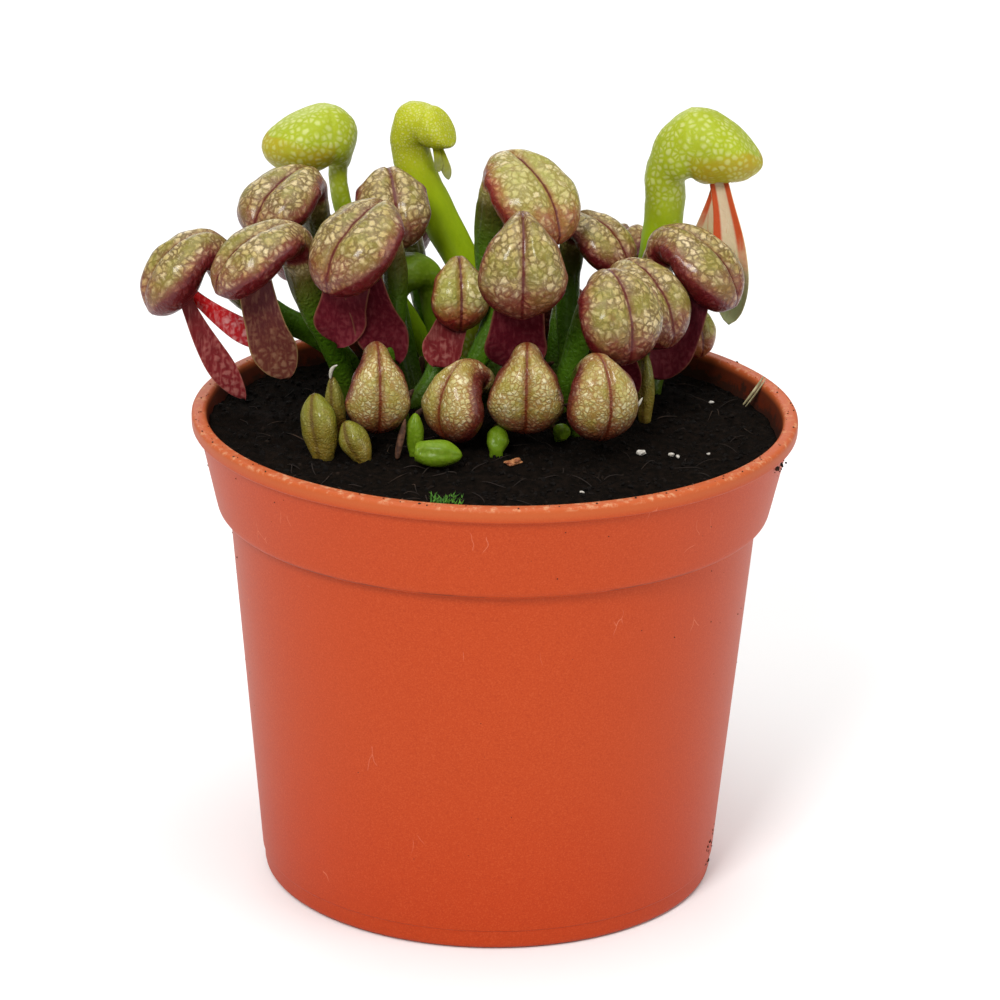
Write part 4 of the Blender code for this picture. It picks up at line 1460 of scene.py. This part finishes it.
    def build_tail(self, tail: Tail) -> bpy.types.Object:
        """Builds one lobe of the tail as a thin cupped blade.

        Args:
            tail: The lobe's sizes.

        Returns:
            The lobe.
        """
        rings_count, around = 34, 24
        neck = tail.root
        widths = ((0, neck), (0.2, 0.78 * neck + 0.22), (0.5, 0.9), (0.72, 1.0), (0.9, 0.66), (1.0, 0.14))
        ahead, up, side = self.axes()
        tip = Vector(tail.tip)
        root = (Vector(self.mouth) + ahead * (0.24 * self.size) + up * (0.04 * self.size)
                + side * (tail.shift * self.size))
        middle = (root + tip) / 2 + ahead * (0.08 * (tip - root).length)
        facing = Vector((math.cos(math.radians(tail.face)), math.sin(math.radians(tail.face)), 0))
        angle = np.linspace(0, math.tau, around + 1)
        rows = []
        for i in range(rings_count + 1):
            t = i / rings_count
            centre = root * (1 - t) ** 2 + middle * (2 * (1 - t) * t) + tip * t**2
            along = (root * (2 * t - 2) + middle * (2 - 4 * t) + tip * (2 * t)).normalized()
            across = along.cross(facing).normalized()
            through = across.cross(along)
            open_ring = 0 < i < rings_count
            wide = tail.half_width * curve_at(widths, t) * open_ring
            thick = (0.14 + 0.3 * (1 - t) ** 2) * open_ring
            ripple = 0.16 * tail.half_width * math.sin(9 * t + self.heading) * t
            cup = 0.30 * wide * (1 - 0.4 * t)
            x = np.cos(angle) * wide
            z = np.sin(angle) * thick + cup * np.cos(angle) ** 2 - cup * 0.5 + ripple * np.cos(angle)
            rows.append(outline(centre, across, x, through, z))
        along_values = np.repeat(np.linspace(0, 1, rings_count + 1)[:, None], around + 1, axis=1)
        across_values = np.broadcast_to(np.cos(angle)[None], along_values.shape)
        values = {"along": along_values, "across": across_values}
        lobe = rolled_grid(self.node + "_lobe", np.array(rows), values)
        lobe.data.materials.append(material_of(tail.finish.value))
        return lobe


# ---------------------------------------------------------------- young leaves


@dataclass
class YoungLeaf:
    """A leaf with no hood yet. Sizes in millimetres."""

    node: str
    foot: Pair
    tip: Point
    thick: float
    finish: LeafFinish = LeafFinish.BUD
    slot: str = "olive_leaf"
    lift: float = 0.35
    blush: float = 0.6

    RADIUS = ((0, 0.62), (0.15, 0.82), (0.4, 1.0), (0.65, 0.93), (0.85, 0.62), (0.96, 0.30), (1.0, 0.08))
    AROUND = 36
    RINGS = 30

    def build(self, bed: PeatBed) -> bpy.types.Object:
        """Builds the young leaf.

        Args:
            bed: The peat that it grows from.

        Returns:
            The leaf.
        """
        x, y = self.foot
        foot = Vector((x, y, bed.height(x, y) + self.lift))
        tip = Vector(self.tip)
        along = (tip - foot).normalized()
        across = Vector((0, 1, 0)).cross(along).normalized()
        through = along.cross(across)
        angle = np.linspace(0, math.tau, self.AROUND + 1)
        rows, blush = [], []
        upright = along.z > 0.6
        for i in range(self.RINGS + 1):
            share = i / self.RINGS
            radius = self.thick / 2 * curve_at(self.RADIUS, share) * (1 if i < self.RINGS else 0.0)
            if i == 0 and not upright:
                radius = 0.0
            crease = 1 - 0.14 * np.exp(-((np.abs((angle - 4.4)) / 0.3) ** 2)) * (share > 0.1)
            swell = np.array([1 + 0.12 * noise.noise(Vector((math.cos(a), math.sin(a), 3 * share + x)))
                              for a in angle[:-1]])
            swell = np.append(swell, swell[0])
            offset = (np.array(across)[None] * np.cos(angle)[:, None]
                      + np.array(through)[None] * np.sin(angle)[:, None]) * (radius * crease * swell)[:, None]
            rows.append(np.array(foot.lerp(tip, share))[None] + offset)
            blush.append(np.full(self.AROUND + 1, self.blush * float(smooth(1 - share, 0.1, 1.0))))
        if upright:
            rows.insert(0, rows[0] - np.array([0, 0, 1.2]))
            rows.insert(0, np.repeat(rows[0].mean(axis=0)[None], self.AROUND + 1, axis=0))
            blush = [blush[0], blush[0], *blush]
        points = np.array(rows)
        zero = np.zeros(points.shape[:2])
        crease_distance = np.linalg.norm(points - points[:, [int(self.AROUND * 0.7)]], axis=2)
        values = {"tube": zero, "blush": np.array(blush), "rib": crease_distance, "mouth": zero}
        leaf = rolled_grid(self.node + "_leaf", points, values)
        return seat(leaf, self.finish.value, self.slot, self.node)


# ---------------------------------------------------------------- litter


@dataclass
class Litter:
    """What lies on the peat or clings to the pot: chip, moss, straw, perlite, dry flakes. In millimetres."""

    bed: PeatBed
    chip_place: Pair = (2.8, -16.1)
    chip_size: Point = (2.6, 1.6, 0.8)
    moss_place: Pair = (-6.6, -31.2)
    moss_size: Pair = (4.6, 3.6)
    moss_leaves: int = 110
    straw_foot: Point = (37.6, 13.0, 69.2)
    straw_tip: Point = (40.6, 14.2, 73.4)
    seed: int = 5

    GRAINS = (
        (21.5, -10.6, 1.2), (26.0, -9.6, 0.9), (26.9, -10.4, 0.7), (12.6, -27.5, 0.6),
        (31.5, -8.0, 0.5), (5.0, 36.0, 0.9), (-14.0, 37.0, 0.7), (33.0, 16.0, 0.6))
    PALE_FLAKES = (
        (((-15.2, -9.6, 77.6), (-14.6, -11.2, 78.6), (-13.2, -11.6, 78.3), (-12.2, -10.8, 77.7)), 0.55, 0.6),
        (((-24.2, -6.2, 78.3), (-24.4, -6.5, 79.6), (-23.9, -6.6, 80.6), (-22.7, -6.5, 80.7)), 0.3, 0.5),
        (((20.3, -11.6, 76.5), (20.9, -12.4, 77.0), (21.1, -12.0, 77.9), (21.6, -11.8, 78.4)), 0.22, 0.4))
    TALL_SCALE = ((-14.2, -14.6, 68.8), (-14.0, -14.4, 71.5), (-13.2, -13.9, 73.5), (-12.9, -13.6, 75.8))
    SCALES = 16
    LIP_CRUMBS = 150
    COLLAR_CRUMBS = 26
    FLAKE_RINGS = 18
    FLAKE_AROUND = 12

    def lump(self, place: Point, size: Point, turn: float, seed: int, cuts: int = 3) -> bpy.types.Object:
        """A small uneven lump.

        Args:
            place: Its centre.
            size: Its sides.
            turn: Its turn about Z, in degrees.
            seed: Which of its shapes it takes.
            cuts: How often its ball is subdivided.

        Returns:
            The lump.
        """
        obj, shape = ball(cuts, 0.5)
        for row in shape:
            row *= 1 + 0.45 * noise.noise(Vector(row) * 2.2 + Vector((seed, 0, 0)))
            row *= 1 + 0.18 * noise.noise(Vector(row) * 6.0 + Vector((0, seed, 0)))
        cosine, sine = math.cos(math.radians(turn)), math.sin(math.radians(turn))
        spin = np.array([[cosine, -sine, 0], [sine, cosine, 0], [0, 0, 1]])
        shape = (shape * np.array(size)) @ spin.T + np.array(place)
        obj.data.vertices.foreach_set("co", (shape * MM).astype(np.float32).ravel())
        obj.data.update()
        return obj

    def on_bed(self, x: float, y: float, lift: float) -> Point:
        """A place on the peat's surface, lifted."""
        return x, y, self.bed.surface(x, y) + lift

    def build_chip(self) -> None:
        """Builds the bark chip."""
        x, y = self.chip_place
        chip = joined("bark_flake", [self.lump(self.on_bed(x, y, 0.35), self.chip_size, 35, 3),
                                     self.lump(self.on_bed(x + 0.5, y - 0.2, 0.75), (1.2, 0.9, 0.5), 80, 8)])
        seat(chip, NaturalFinish.CHIP.value, "bark", "bark_chip")

    def build_moss(self) -> None:
        """Builds the moss as many small pointed leaves."""
        rng = random.Random(self.seed)
        deselect()
        bpy.ops.mesh.primitive_cone_add(vertices=4, radius1=0.5, radius2=0.0, depth=1.0, location=(0, 0, 0.5))
        template = bpy.context.object
        bpy.ops.object.transform_apply(location=True, rotation=True, scale=True)
        shape = template_points(template)
        places = []
        for _ in range(self.moss_leaves):
            x = self.moss_place[0] + rng.uniform(-0.5, 0.5) * self.moss_size[0]
            y = self.moss_place[1] + rng.uniform(-0.5, 0.5) * self.moss_size[1]
            lean = Vector((rng.uniform(-1, 1), rng.uniform(-1, 1), rng.uniform(0.5, 1.4))).normalized()
            turn = np.array(Vector((0, 0, 1)).rotation_difference(lean).to_matrix())
            long, wide = rng.uniform(0.5, 1.15), rng.uniform(0.16, 0.3)
            leaf = (shape * (wide, 0.4 * wide, long)) @ turn.T
            places.append((leaf + (x, y, self.bed.surface(x, y) - 0.05)) * MM)
        moss = many("moss_leaves", template, places)
        seat(moss, NaturalFinish.MOSS.value, "moss", "moss_tuft")

    def build_straw(self) -> None:
        """Builds the straw against the wall, split along its length."""
        template = self.bed.strand_template()
        shape = template_points(template)
        foot, tip = Vector(self.straw_foot), Vector(self.straw_tip)
        places = []
        for shift, radius in ((Vector((0, 0, 0)), 0.24), (Vector((0.38, 0.1, -0.3)), 0.15)):
            bow = Vector((0.25, -0.1, 0.15))
            path = [foot + shift, foot.lerp(tip, 0.33) + bow + shift,
                    foot.lerp(tip, 0.66) + bow + shift, tip + shift]
            places.append(self.bed.strand(shape, path, radius))
        straw = many("split_straw", template, places)
        seat(straw, NaturalFinish.STRAW.value, "straw", "straw")

    def build_grit(self) -> None:
        """Builds the white perlite grains."""
        grains = []
        for k, (x, y, size) in enumerate(self.GRAINS):
            grains.append(self.lump(self.on_bed(x, y, 0.3 * size), (size * 1.25, size * 0.8, size * 0.7),
                                    50 * k, 20 + k, 2))
        grit = joined("perlite_grains", grains)
        seat(grit, NaturalFinish.PERLITE.value, "soil")

    def flake(self, name: str, path: "Sequence[Point]", width: float, curl: float) -> bpy.types.Object:
        """A thin dry strip that curls along a path.

        Args:
            name: Its name.
            path: Four points of a cubic curve.
            width: Its half width.
            curl: How much its sides curl.

        Returns:
            The strip.
        """
        corners = [Vector(p) for p in path]
        angle = np.linspace(0, math.tau, self.FLAKE_AROUND + 1)
        rows = []
        for i in range(self.FLAKE_RINGS + 1):
            t = i / self.FLAKE_RINGS
            here = bezier(*corners, t)
            along = (bezier(*corners, t + 0.01) - bezier(*corners, t - 0.01)).normalized()
            side = along.cross(Vector((0.3, 1.0, 0.2))).normalized()
            out = side.cross(along)
            wide = width * math.sin(math.pi * min(t + 0.12, 1)) ** 0.6 * (0 < i < self.FLAKE_RINGS)
            x = np.cos(angle) * wide
            z = np.sin(angle) * min(0.07, wide) + curl * np.cos(angle) ** 2 * wide
            rows.append(outline(here, side, x, out, z))
        return rolled_grid(name, np.array(rows), {})

    def build_flakes(self) -> None:
        """Builds the dry flakes: pale ones on the leaves, and brown dead scales at the crown."""
        pale = joined("pale_dry_flakes", [self.flake("flake", *sizes) for sizes in self.PALE_FLAKES])
        seat(pale, NaturalFinish.DRY_SKIN.value, "straw")
        brown = []
        rng = random.Random(self.seed + 2)
        for k in range(self.SCALES):
            turn = math.tau * (k + rng.uniform(-0.3, 0.3)) / self.SCALES
            x = self.bed.crown_centre[0] + 17.0 * math.cos(turn) * rng.uniform(0.75, 1.1)
            y = self.bed.crown_centre[1] + 19.0 * math.sin(turn) * rng.uniform(0.75, 1.1)
            z = self.bed.surface(x, y)
            lean = Vector((rng.uniform(-2, 2), rng.uniform(-2, 2), 0))
            tall = rng.uniform(1.5, 4.5)
            path = [(x, y, z - 0.4), (x, y, z + 0.4 * tall), (x + lean.x, y + lean.y, z + 0.7 * tall),
                    (x + 1.6 * lean.x, y + 1.6 * lean.y, z + tall * 0.8)]
            brown.append(self.flake("scale", path, rng.uniform(0.3, 0.8), 0.5))
        brown.append(self.flake("scale", self.TALL_SCALE, 0.55, 0.6))
        scales = joined("dead_scales", brown)
        seat(scales, NaturalFinish.DEAD_SCALE.value, "crown")

    def build_clinging_soil(self) -> None:
        """Builds the crumbs of peat that cling to the pot's lip and its outside."""
        rng = random.Random(self.seed + 3)
        template, shape = ball(1)
        places = []
        pot = self.bed.pot

        def cling(angle: float, radius: float, height: float, size: float) -> None:
            """Adds one crumb.

            Args:
                angle: Where it is, round the axis.
                radius: How far it is from the axis.
                height: Its height.
                size: Its size.
            """
            bumps = 1 + 0.3 * np.array([[rng.uniform(-1, 1)] for _ in shape])
            stretch = [rng.uniform(0.6, 1.2) for _ in range(3)]
            lump = shape * bumps * stretch * size
            places.append((lump + (radius * math.cos(angle), radius * math.sin(angle), height)) * MM)

        for _ in range(self.LIP_CRUMBS):
            cling(rng.random() * math.tau, rng.uniform(43.0, 44.6), pot.height - 0.02, rng.uniform(0.06, 0.2))
        for _ in range(self.COLLAR_CRUMBS):
            angle = math.radians(rng.gauss(-19, 3))
            cling(angle, 43.9, pot.height - rng.uniform(2.4, 4.5), rng.uniform(0.08, 0.26))
        body, collar = (pot.base_radius, 0.0, *pot.body_top), (*pot.collar_foot, *pot.collar_top)
        patches = ((34, body, 2.5, 8.5, True, 0.32), (60, body, 4, 56, False, 0.15),
                   (40, collar, 60, 69, False, 0.16))
        for count, part, lowest, highest, near, largest in patches:
            low_radius, low, high_radius, high = part
            for _ in range(count):
                height = rng.uniform(lowest, highest)
                radius = low_radius + (high_radius - low_radius) * (height - low) / (high - low)
                angle = math.radians(rng.gauss(-13, 2.4)) if near else rng.random() * math.tau
                cling(angle, radius + 0.02, height, rng.uniform(0.10 if near else 0.06, largest))
        crumbs = many("clinging_peat", template, places)
        seat(crumbs, NaturalFinish.CLINGING_CRUMB.value, "soil")

    def build(self) -> None:
        """Builds all the litter."""
        self.build_chip()
        self.build_moss()
        self.build_straw()
        self.build_grit()
        self.build_flakes()
        self.build_clinging_soil()


# ---------------------------------------------------------------- plant


LIME = dict(finish=LeafFinish.LIME, slot="green_leaf")
YELLOW = dict(finish=LeafFinish.YELLOW, slot="green_leaf")
GREEN = dict(finish=LeafFinish.GREEN, slot="green_leaf")
WARM = dict(finish=LeafFinish.WARM)
OLIVE = dict(finish=LeafFinish.OLIVE)


def hooded_leaves() -> "list[HoodedLeaf]":
    """All the leaves that have a hood.

    Returns:
        The leaves, in no order.
    """
    wine, cream = TailFinish.WINE, TailFinish.CREAM
    return [
        HoodedLeaf("hood_far_left", (-20.5, 19.5), (-44, 8, 90), 203, 26, 15.2, 0.78, 0.86, droop=0.12,
                   tails=(Tail((-37.5, 7, 70.5), 2.1, 265, wine),
                   Tail((-32.5, 10, 77.5), 2.0, 250, TailFinish.SCARLET))),
        HoodedLeaf("hood_left", (-22, 14.5), (-32.5, 3, 93.5), 208, 12, 16.2, 0.78, 0.72, droop=0.14,
                   tails=(Tail((-31, 5, 74.5), 3.5, 262, TailFinish.OLIVE, 0.7),)),
        HoodedLeaf("hood_upper_left", (-15, 18), (-30.5, 19, 98), 230, 12, 15.3, 0.88, 0.72, point=0.6),
        HoodedLeaf("green_hood_left", (-9, 26), (-26.6, 31, 100.4), 200, -1, 14.2, 0.9, 1.4, droop=-0.33,
                   crest=0.6, tube=0.85, back=((0, 0.24), (30, 0.34), (60, 0.60), (90, 0.70)), **LIME),
        HoodedLeaf("hood_centre_left", (-18.5, 6.5), (-18, 2, 96.5), 228, 22, 17.6, 0.87, 0.76, tube=0.7,
                   tails=(Tail((-23.6, 3, 80.6), 3.9, 265, root=0.8),
                   Tail((-14.6, 4.6, 77.6), 3.8, 262, root=0.8))),
        HoodedLeaf("hood_behind_left", (-12, 15), (-16.5, 18, 98.5), 282, 36, 13.0, 0.94, 0.84),
        HoodedLeaf("green_hood_slim", (4, 21), (-11, 28.2, 104.8), 330, 0, 6.8, 1.1, 1.84, crest=0.1,
                   droop=-0.1, deep=0.5, tube=2.5, flare=0.6, base=2.2, reach=(0.3, 0.15), blush=0.3,
                   **YELLOW, back=((0, 0.86), (30, 0.95), (60, 1.08), (90, 0.92)),
                   tails=(Tail((-7.7, 27, 99.8), 0.8, 262, TailFinish.LIME, 0.7, shift=0.06),
                   Tail((-9.2, 27, 101), 0.7, 280, TailFinish.LIME, 0.7, shift=-0.06))),
        HoodedLeaf("hood_top", (0, 15), (2.5, 16.5, 100.5), 312, 24, 17.2, 0.92, 0.76, **WARM),
        HoodedLeaf("hood_centre", (-8, 6), (3.5, -1, 96.3), 272, 55, 15.2, 0.89, point=1.0, rise=50,
                   tails=(Tail((2.6, 1, 77.5), 4.6, 268, root=0.7),)),
        HoodedLeaf("hood_small_centre", (-13, 8.5), (-5.8, 7.3, 88.8), 276, 52, 10.8, 0.85, point=0.6,
                   rise=40, **WARM, blush=1.35, tails=(Tail((-9.2, 4, 77.2), 3.0, 265, wine, 0.7),)),
        HoodedLeaf("hood_upper_right", (11, 19), (13.7, 22.5, 91.5), 322, 16, 12.5, 0.87, 0.76),
        HoodedLeaf("hood_right_rear", (15, 11), (20.3, 11.5, 86), 318, 32, 14.9, 0.98, 0.84),
        HoodedLeaf("hood_right_front", (9, 6), (16.5, 0, 88), 298, 46, 14.1, 1.0, 0.92,
                   tails=(Tail((20, 4, 73), 2.2, 275),)),
        HoodedLeaf("hood_far_right", (21, 16), (27.7, 19.4, 89), 332, 22, 16.5, 0.83, 0.75,
                   tails=(Tail((24.0, 14, 72.6), 3.2, 265, root=0.6),)),
        HoodedLeaf("green_hood_tall", (18, 27), (29.9, 29, 99.7), 350, -5, 15.8, 0.84, 1.44, droop=-0.2,
                   deep=0.55, crest=0.5, inner=0.1, tube=1.7, flare=0.6, base=2.4,
                   back=((0, 0.49), (30, 0.50), (60, 0.60), (90, 0.72)),
                   tails=(Tail((35.8, 25.5, 78), 3.0, 250, cream, 0.5, shift=-0.05),
                   Tail((30, 29.5, 86), 1.9, 262, cream, 0.5, shift=0.06)), **LIME),
        HoodedLeaf("front_hood_1", (-14, 0), (-17.5, -8, 79.5), 278, 72, 13.2, 0.74, point=1.0, **OLIVE),
        HoodedLeaf("front_hood_2", (-5, -2), (-3.6, -8.6, 77.4), 224, 56, 12.2, 0.9, point=1.0, **OLIVE),
        HoodedLeaf("front_hood_3", (4, -1), (4.5, -8, 79.8), 270, 72, 13.1, 0.88, point=1.0, **OLIVE),
        HoodedLeaf("front_hood_4", (12, -3), (14.5, -9.5, 79), 292, 68, 12.5, 0.92, point=0.4, **OLIVE),
        HoodedLeaf("green_hood_low", (-2.5, 17.5), (-12.6, 13.8, 86.2), 184, 12, 12.2, 0.8, 0.95, rise=35,
                   blush=0.0, **GREEN),
        HoodedLeaf("hood_rim_right", (24, 21), (28.8, 26, 77.5), 305, 36, 9.2, 0.85, 0.9, reach=(0.5, 0.38),
                   **WARM),
        HoodedLeaf("rear_hood_1", (-16, 23), (-27, 34, 86), 140, 30, 14.0, 0.85, 0.85,
                   tails=(Tail((-27.5, 35.5, 74.5), 2.3, 120),)),
        HoodedLeaf("rear_hood_2", (-8, 30), (-14.5, 37, 88), 105, 34, 13.0, 0.9, 0.85, point=0.5),
        HoodedLeaf("rear_hood_3", (4, 25.5), (6, 35, 94), 84, 34, 14.5, 0.9, 0.85, point=0.5,
                   tails=(Tail((6.3, 37, 80.5), 2.6, 88),)),
        HoodedLeaf("rear_hood_4", (17, 32), (20, 39, 84), 70, 40, 13.0, 0.9, 0.9),
        HoodedLeaf("rear_hood_5", (0.5, 29.5), (-2.2, 35, 77), 98, 64, 11.5, 0.9, point=1.0, **OLIVE),
        HoodedLeaf("rear_hood_6", (9, 27), (10.5, 33, 77.5), 84, 66, 11.0, 0.88, point=1.0, **OLIVE),
    ]


def young_leaves() -> "list[YoungLeaf]":
    """All the leaves that have no hood yet.

    Returns:
        The leaves, in no order.
    """
    return [
        YoungLeaf("young_leaf_1", (-24.9, -13), (-26.4, -10.5, 77.6), 5.4),
        YoungLeaf("young_leaf_2", (-19.0, -14.9), (-21.8, -13.6, 74.4), 4.2),
        YoungLeaf("young_leaf_3", (-23, -6), (-24, -5.6, 78.6), 3.0, blush=1.3),
        YoungLeaf("young_leaf_4", (-11.6, -17.3), (-4.6, -18, 70.9), 4.0, lift=2.4, **GREEN),
        YoungLeaf("young_leaf_5", (-11.6, -12.6), (-11.6, -12.4, 75.4), 2.6, **GREEN),
        YoungLeaf("young_leaf_6", (0.3, -12.6), (0.6, -9.8, 72.8), 3.2, lift=0.7, **GREEN),
        YoungLeaf("young_leaf_7", (9.6, -5.2), (10.2, -7.4, 71.8), 2.6, lift=0.8, **GREEN),
        YoungLeaf("young_leaf_8", (22.5, 6), (22.2, 8, 79), 3.0),
        YoungLeaf("young_leaf_9", (-5, 25.5), (-2, 31, 90), 3.0, **LIME),
    ]


# ---------------------------------------------------------------- studio


@dataclass
class Studio:
    """The floor, the lights and the camera. Sizes in metres."""

    camera_place: Point = (0.0, -0.5976, 0.26976)
    camera_aim: Point = (0.00098, 0.0, 0.0578)
    camera_roll: float = 0.01804
    lens: float = 152.55
    floor_size: float = 6.0
    sky: float = 0.45

    def build_floor(self) -> None:
        """Lays the pale floor."""
        deselect()
        bpy.ops.mesh.primitive_plane_add(size=self.floor_size, location=(0, 0, -0.0001))
        floor = bpy.context.object
        floor.name = "studio_floor"
        d = Dresser("pale_floor")
        cloud = d.noise(d.place(), 400.0, 2.0)
        colour = d.mix(cloud, (0.86, 0.86, 0.86), (0.90, 0.90, 0.89))
        dull = {"Roughness": 0.9, "Specular IOR Level": 0.2}
        floor.data.materials.append(d.finish({"Base Color": colour}, dull))

    def add_light(self, name: str, place: Point, size: float, power: float) -> None:
        """Hangs one soft square light that faces the plant.

        Args:
            name: Its name.
            place: Where it hangs.
            size: Its side.
            power: Its power in watts.
        """
        data = bpy.data.lights.new(name, "AREA")
        data.shape = "SQUARE"
        data.size = size
        data.energy = power
        lamp = bpy.data.objects.new(name, data)
        lamp.location = place
        lamp.rotation_euler = (Vector((0, 0, 0.06)) - Vector(place)).to_track_quat("-Z", "Y").to_euler()
        bpy.context.scene.collection.objects.link(lamp)

    def build(self) -> None:
        """Sets up the floor, the lights, the sky and the camera."""
        self.build_floor()
        world = bpy.data.worlds.new("soft_sky")
        bpy.context.scene.world = world
        world.use_nodes = True
        world.node_tree.nodes["Background"].inputs["Color"].default_value = (1.0, 1.0, 1.0, 1.0)
        world.node_tree.nodes["Background"].inputs["Strength"].default_value = self.sky
        self.add_light("key", (-0.30, -0.80, 0.75), 0.30, 7.5)
        self.add_light("overhead", (0.0, -0.05, 1.1), 1.0, 8.0)
        self.add_light("fill", (0.9, -0.4, 0.5), 0.6, 2.5)
        self.add_light("back", (-0.2, 1.0, 0.6), 0.7, 3.0)
        data = bpy.data.cameras.new("camera")
        data.lens = self.lens
        data.sensor_width = 36.0
        data.clip_start = 0.01
        camera = bpy.data.objects.new("camera", data)
        aim = (Vector(self.camera_aim) - Vector(self.camera_place)).to_track_quat("-Z", "Y")
        camera.rotation_euler = (aim @ Quaternion((0, 0, 1), self.camera_roll)).to_euler()
        camera.location = self.camera_place
        bpy.context.scene.collection.objects.link(camera)
        bpy.context.scene.camera = camera
        bpy.context.scene.view_settings.view_transform = "Standard"


def main() -> None:
    """Builds the looks around the frame."""
    logging.basicConfig(level=logging.INFO, format="%(message)s")
    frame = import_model()
    Pot().build()
    bed = PeatBed()
    bed.build()
    crown = frame["nodes"]["crown"]
    crown.data.materials.clear()
    crown.data.materials.append(material_of(NaturalFinish.CROWN.value))
    for leaf in hooded_leaves():
        leaf.build(bed)
    for leaf in young_leaves():
        leaf.build(bed)
    Litter(bed).build()
    Studio().build()


if __name__ == "__main__":
    main()
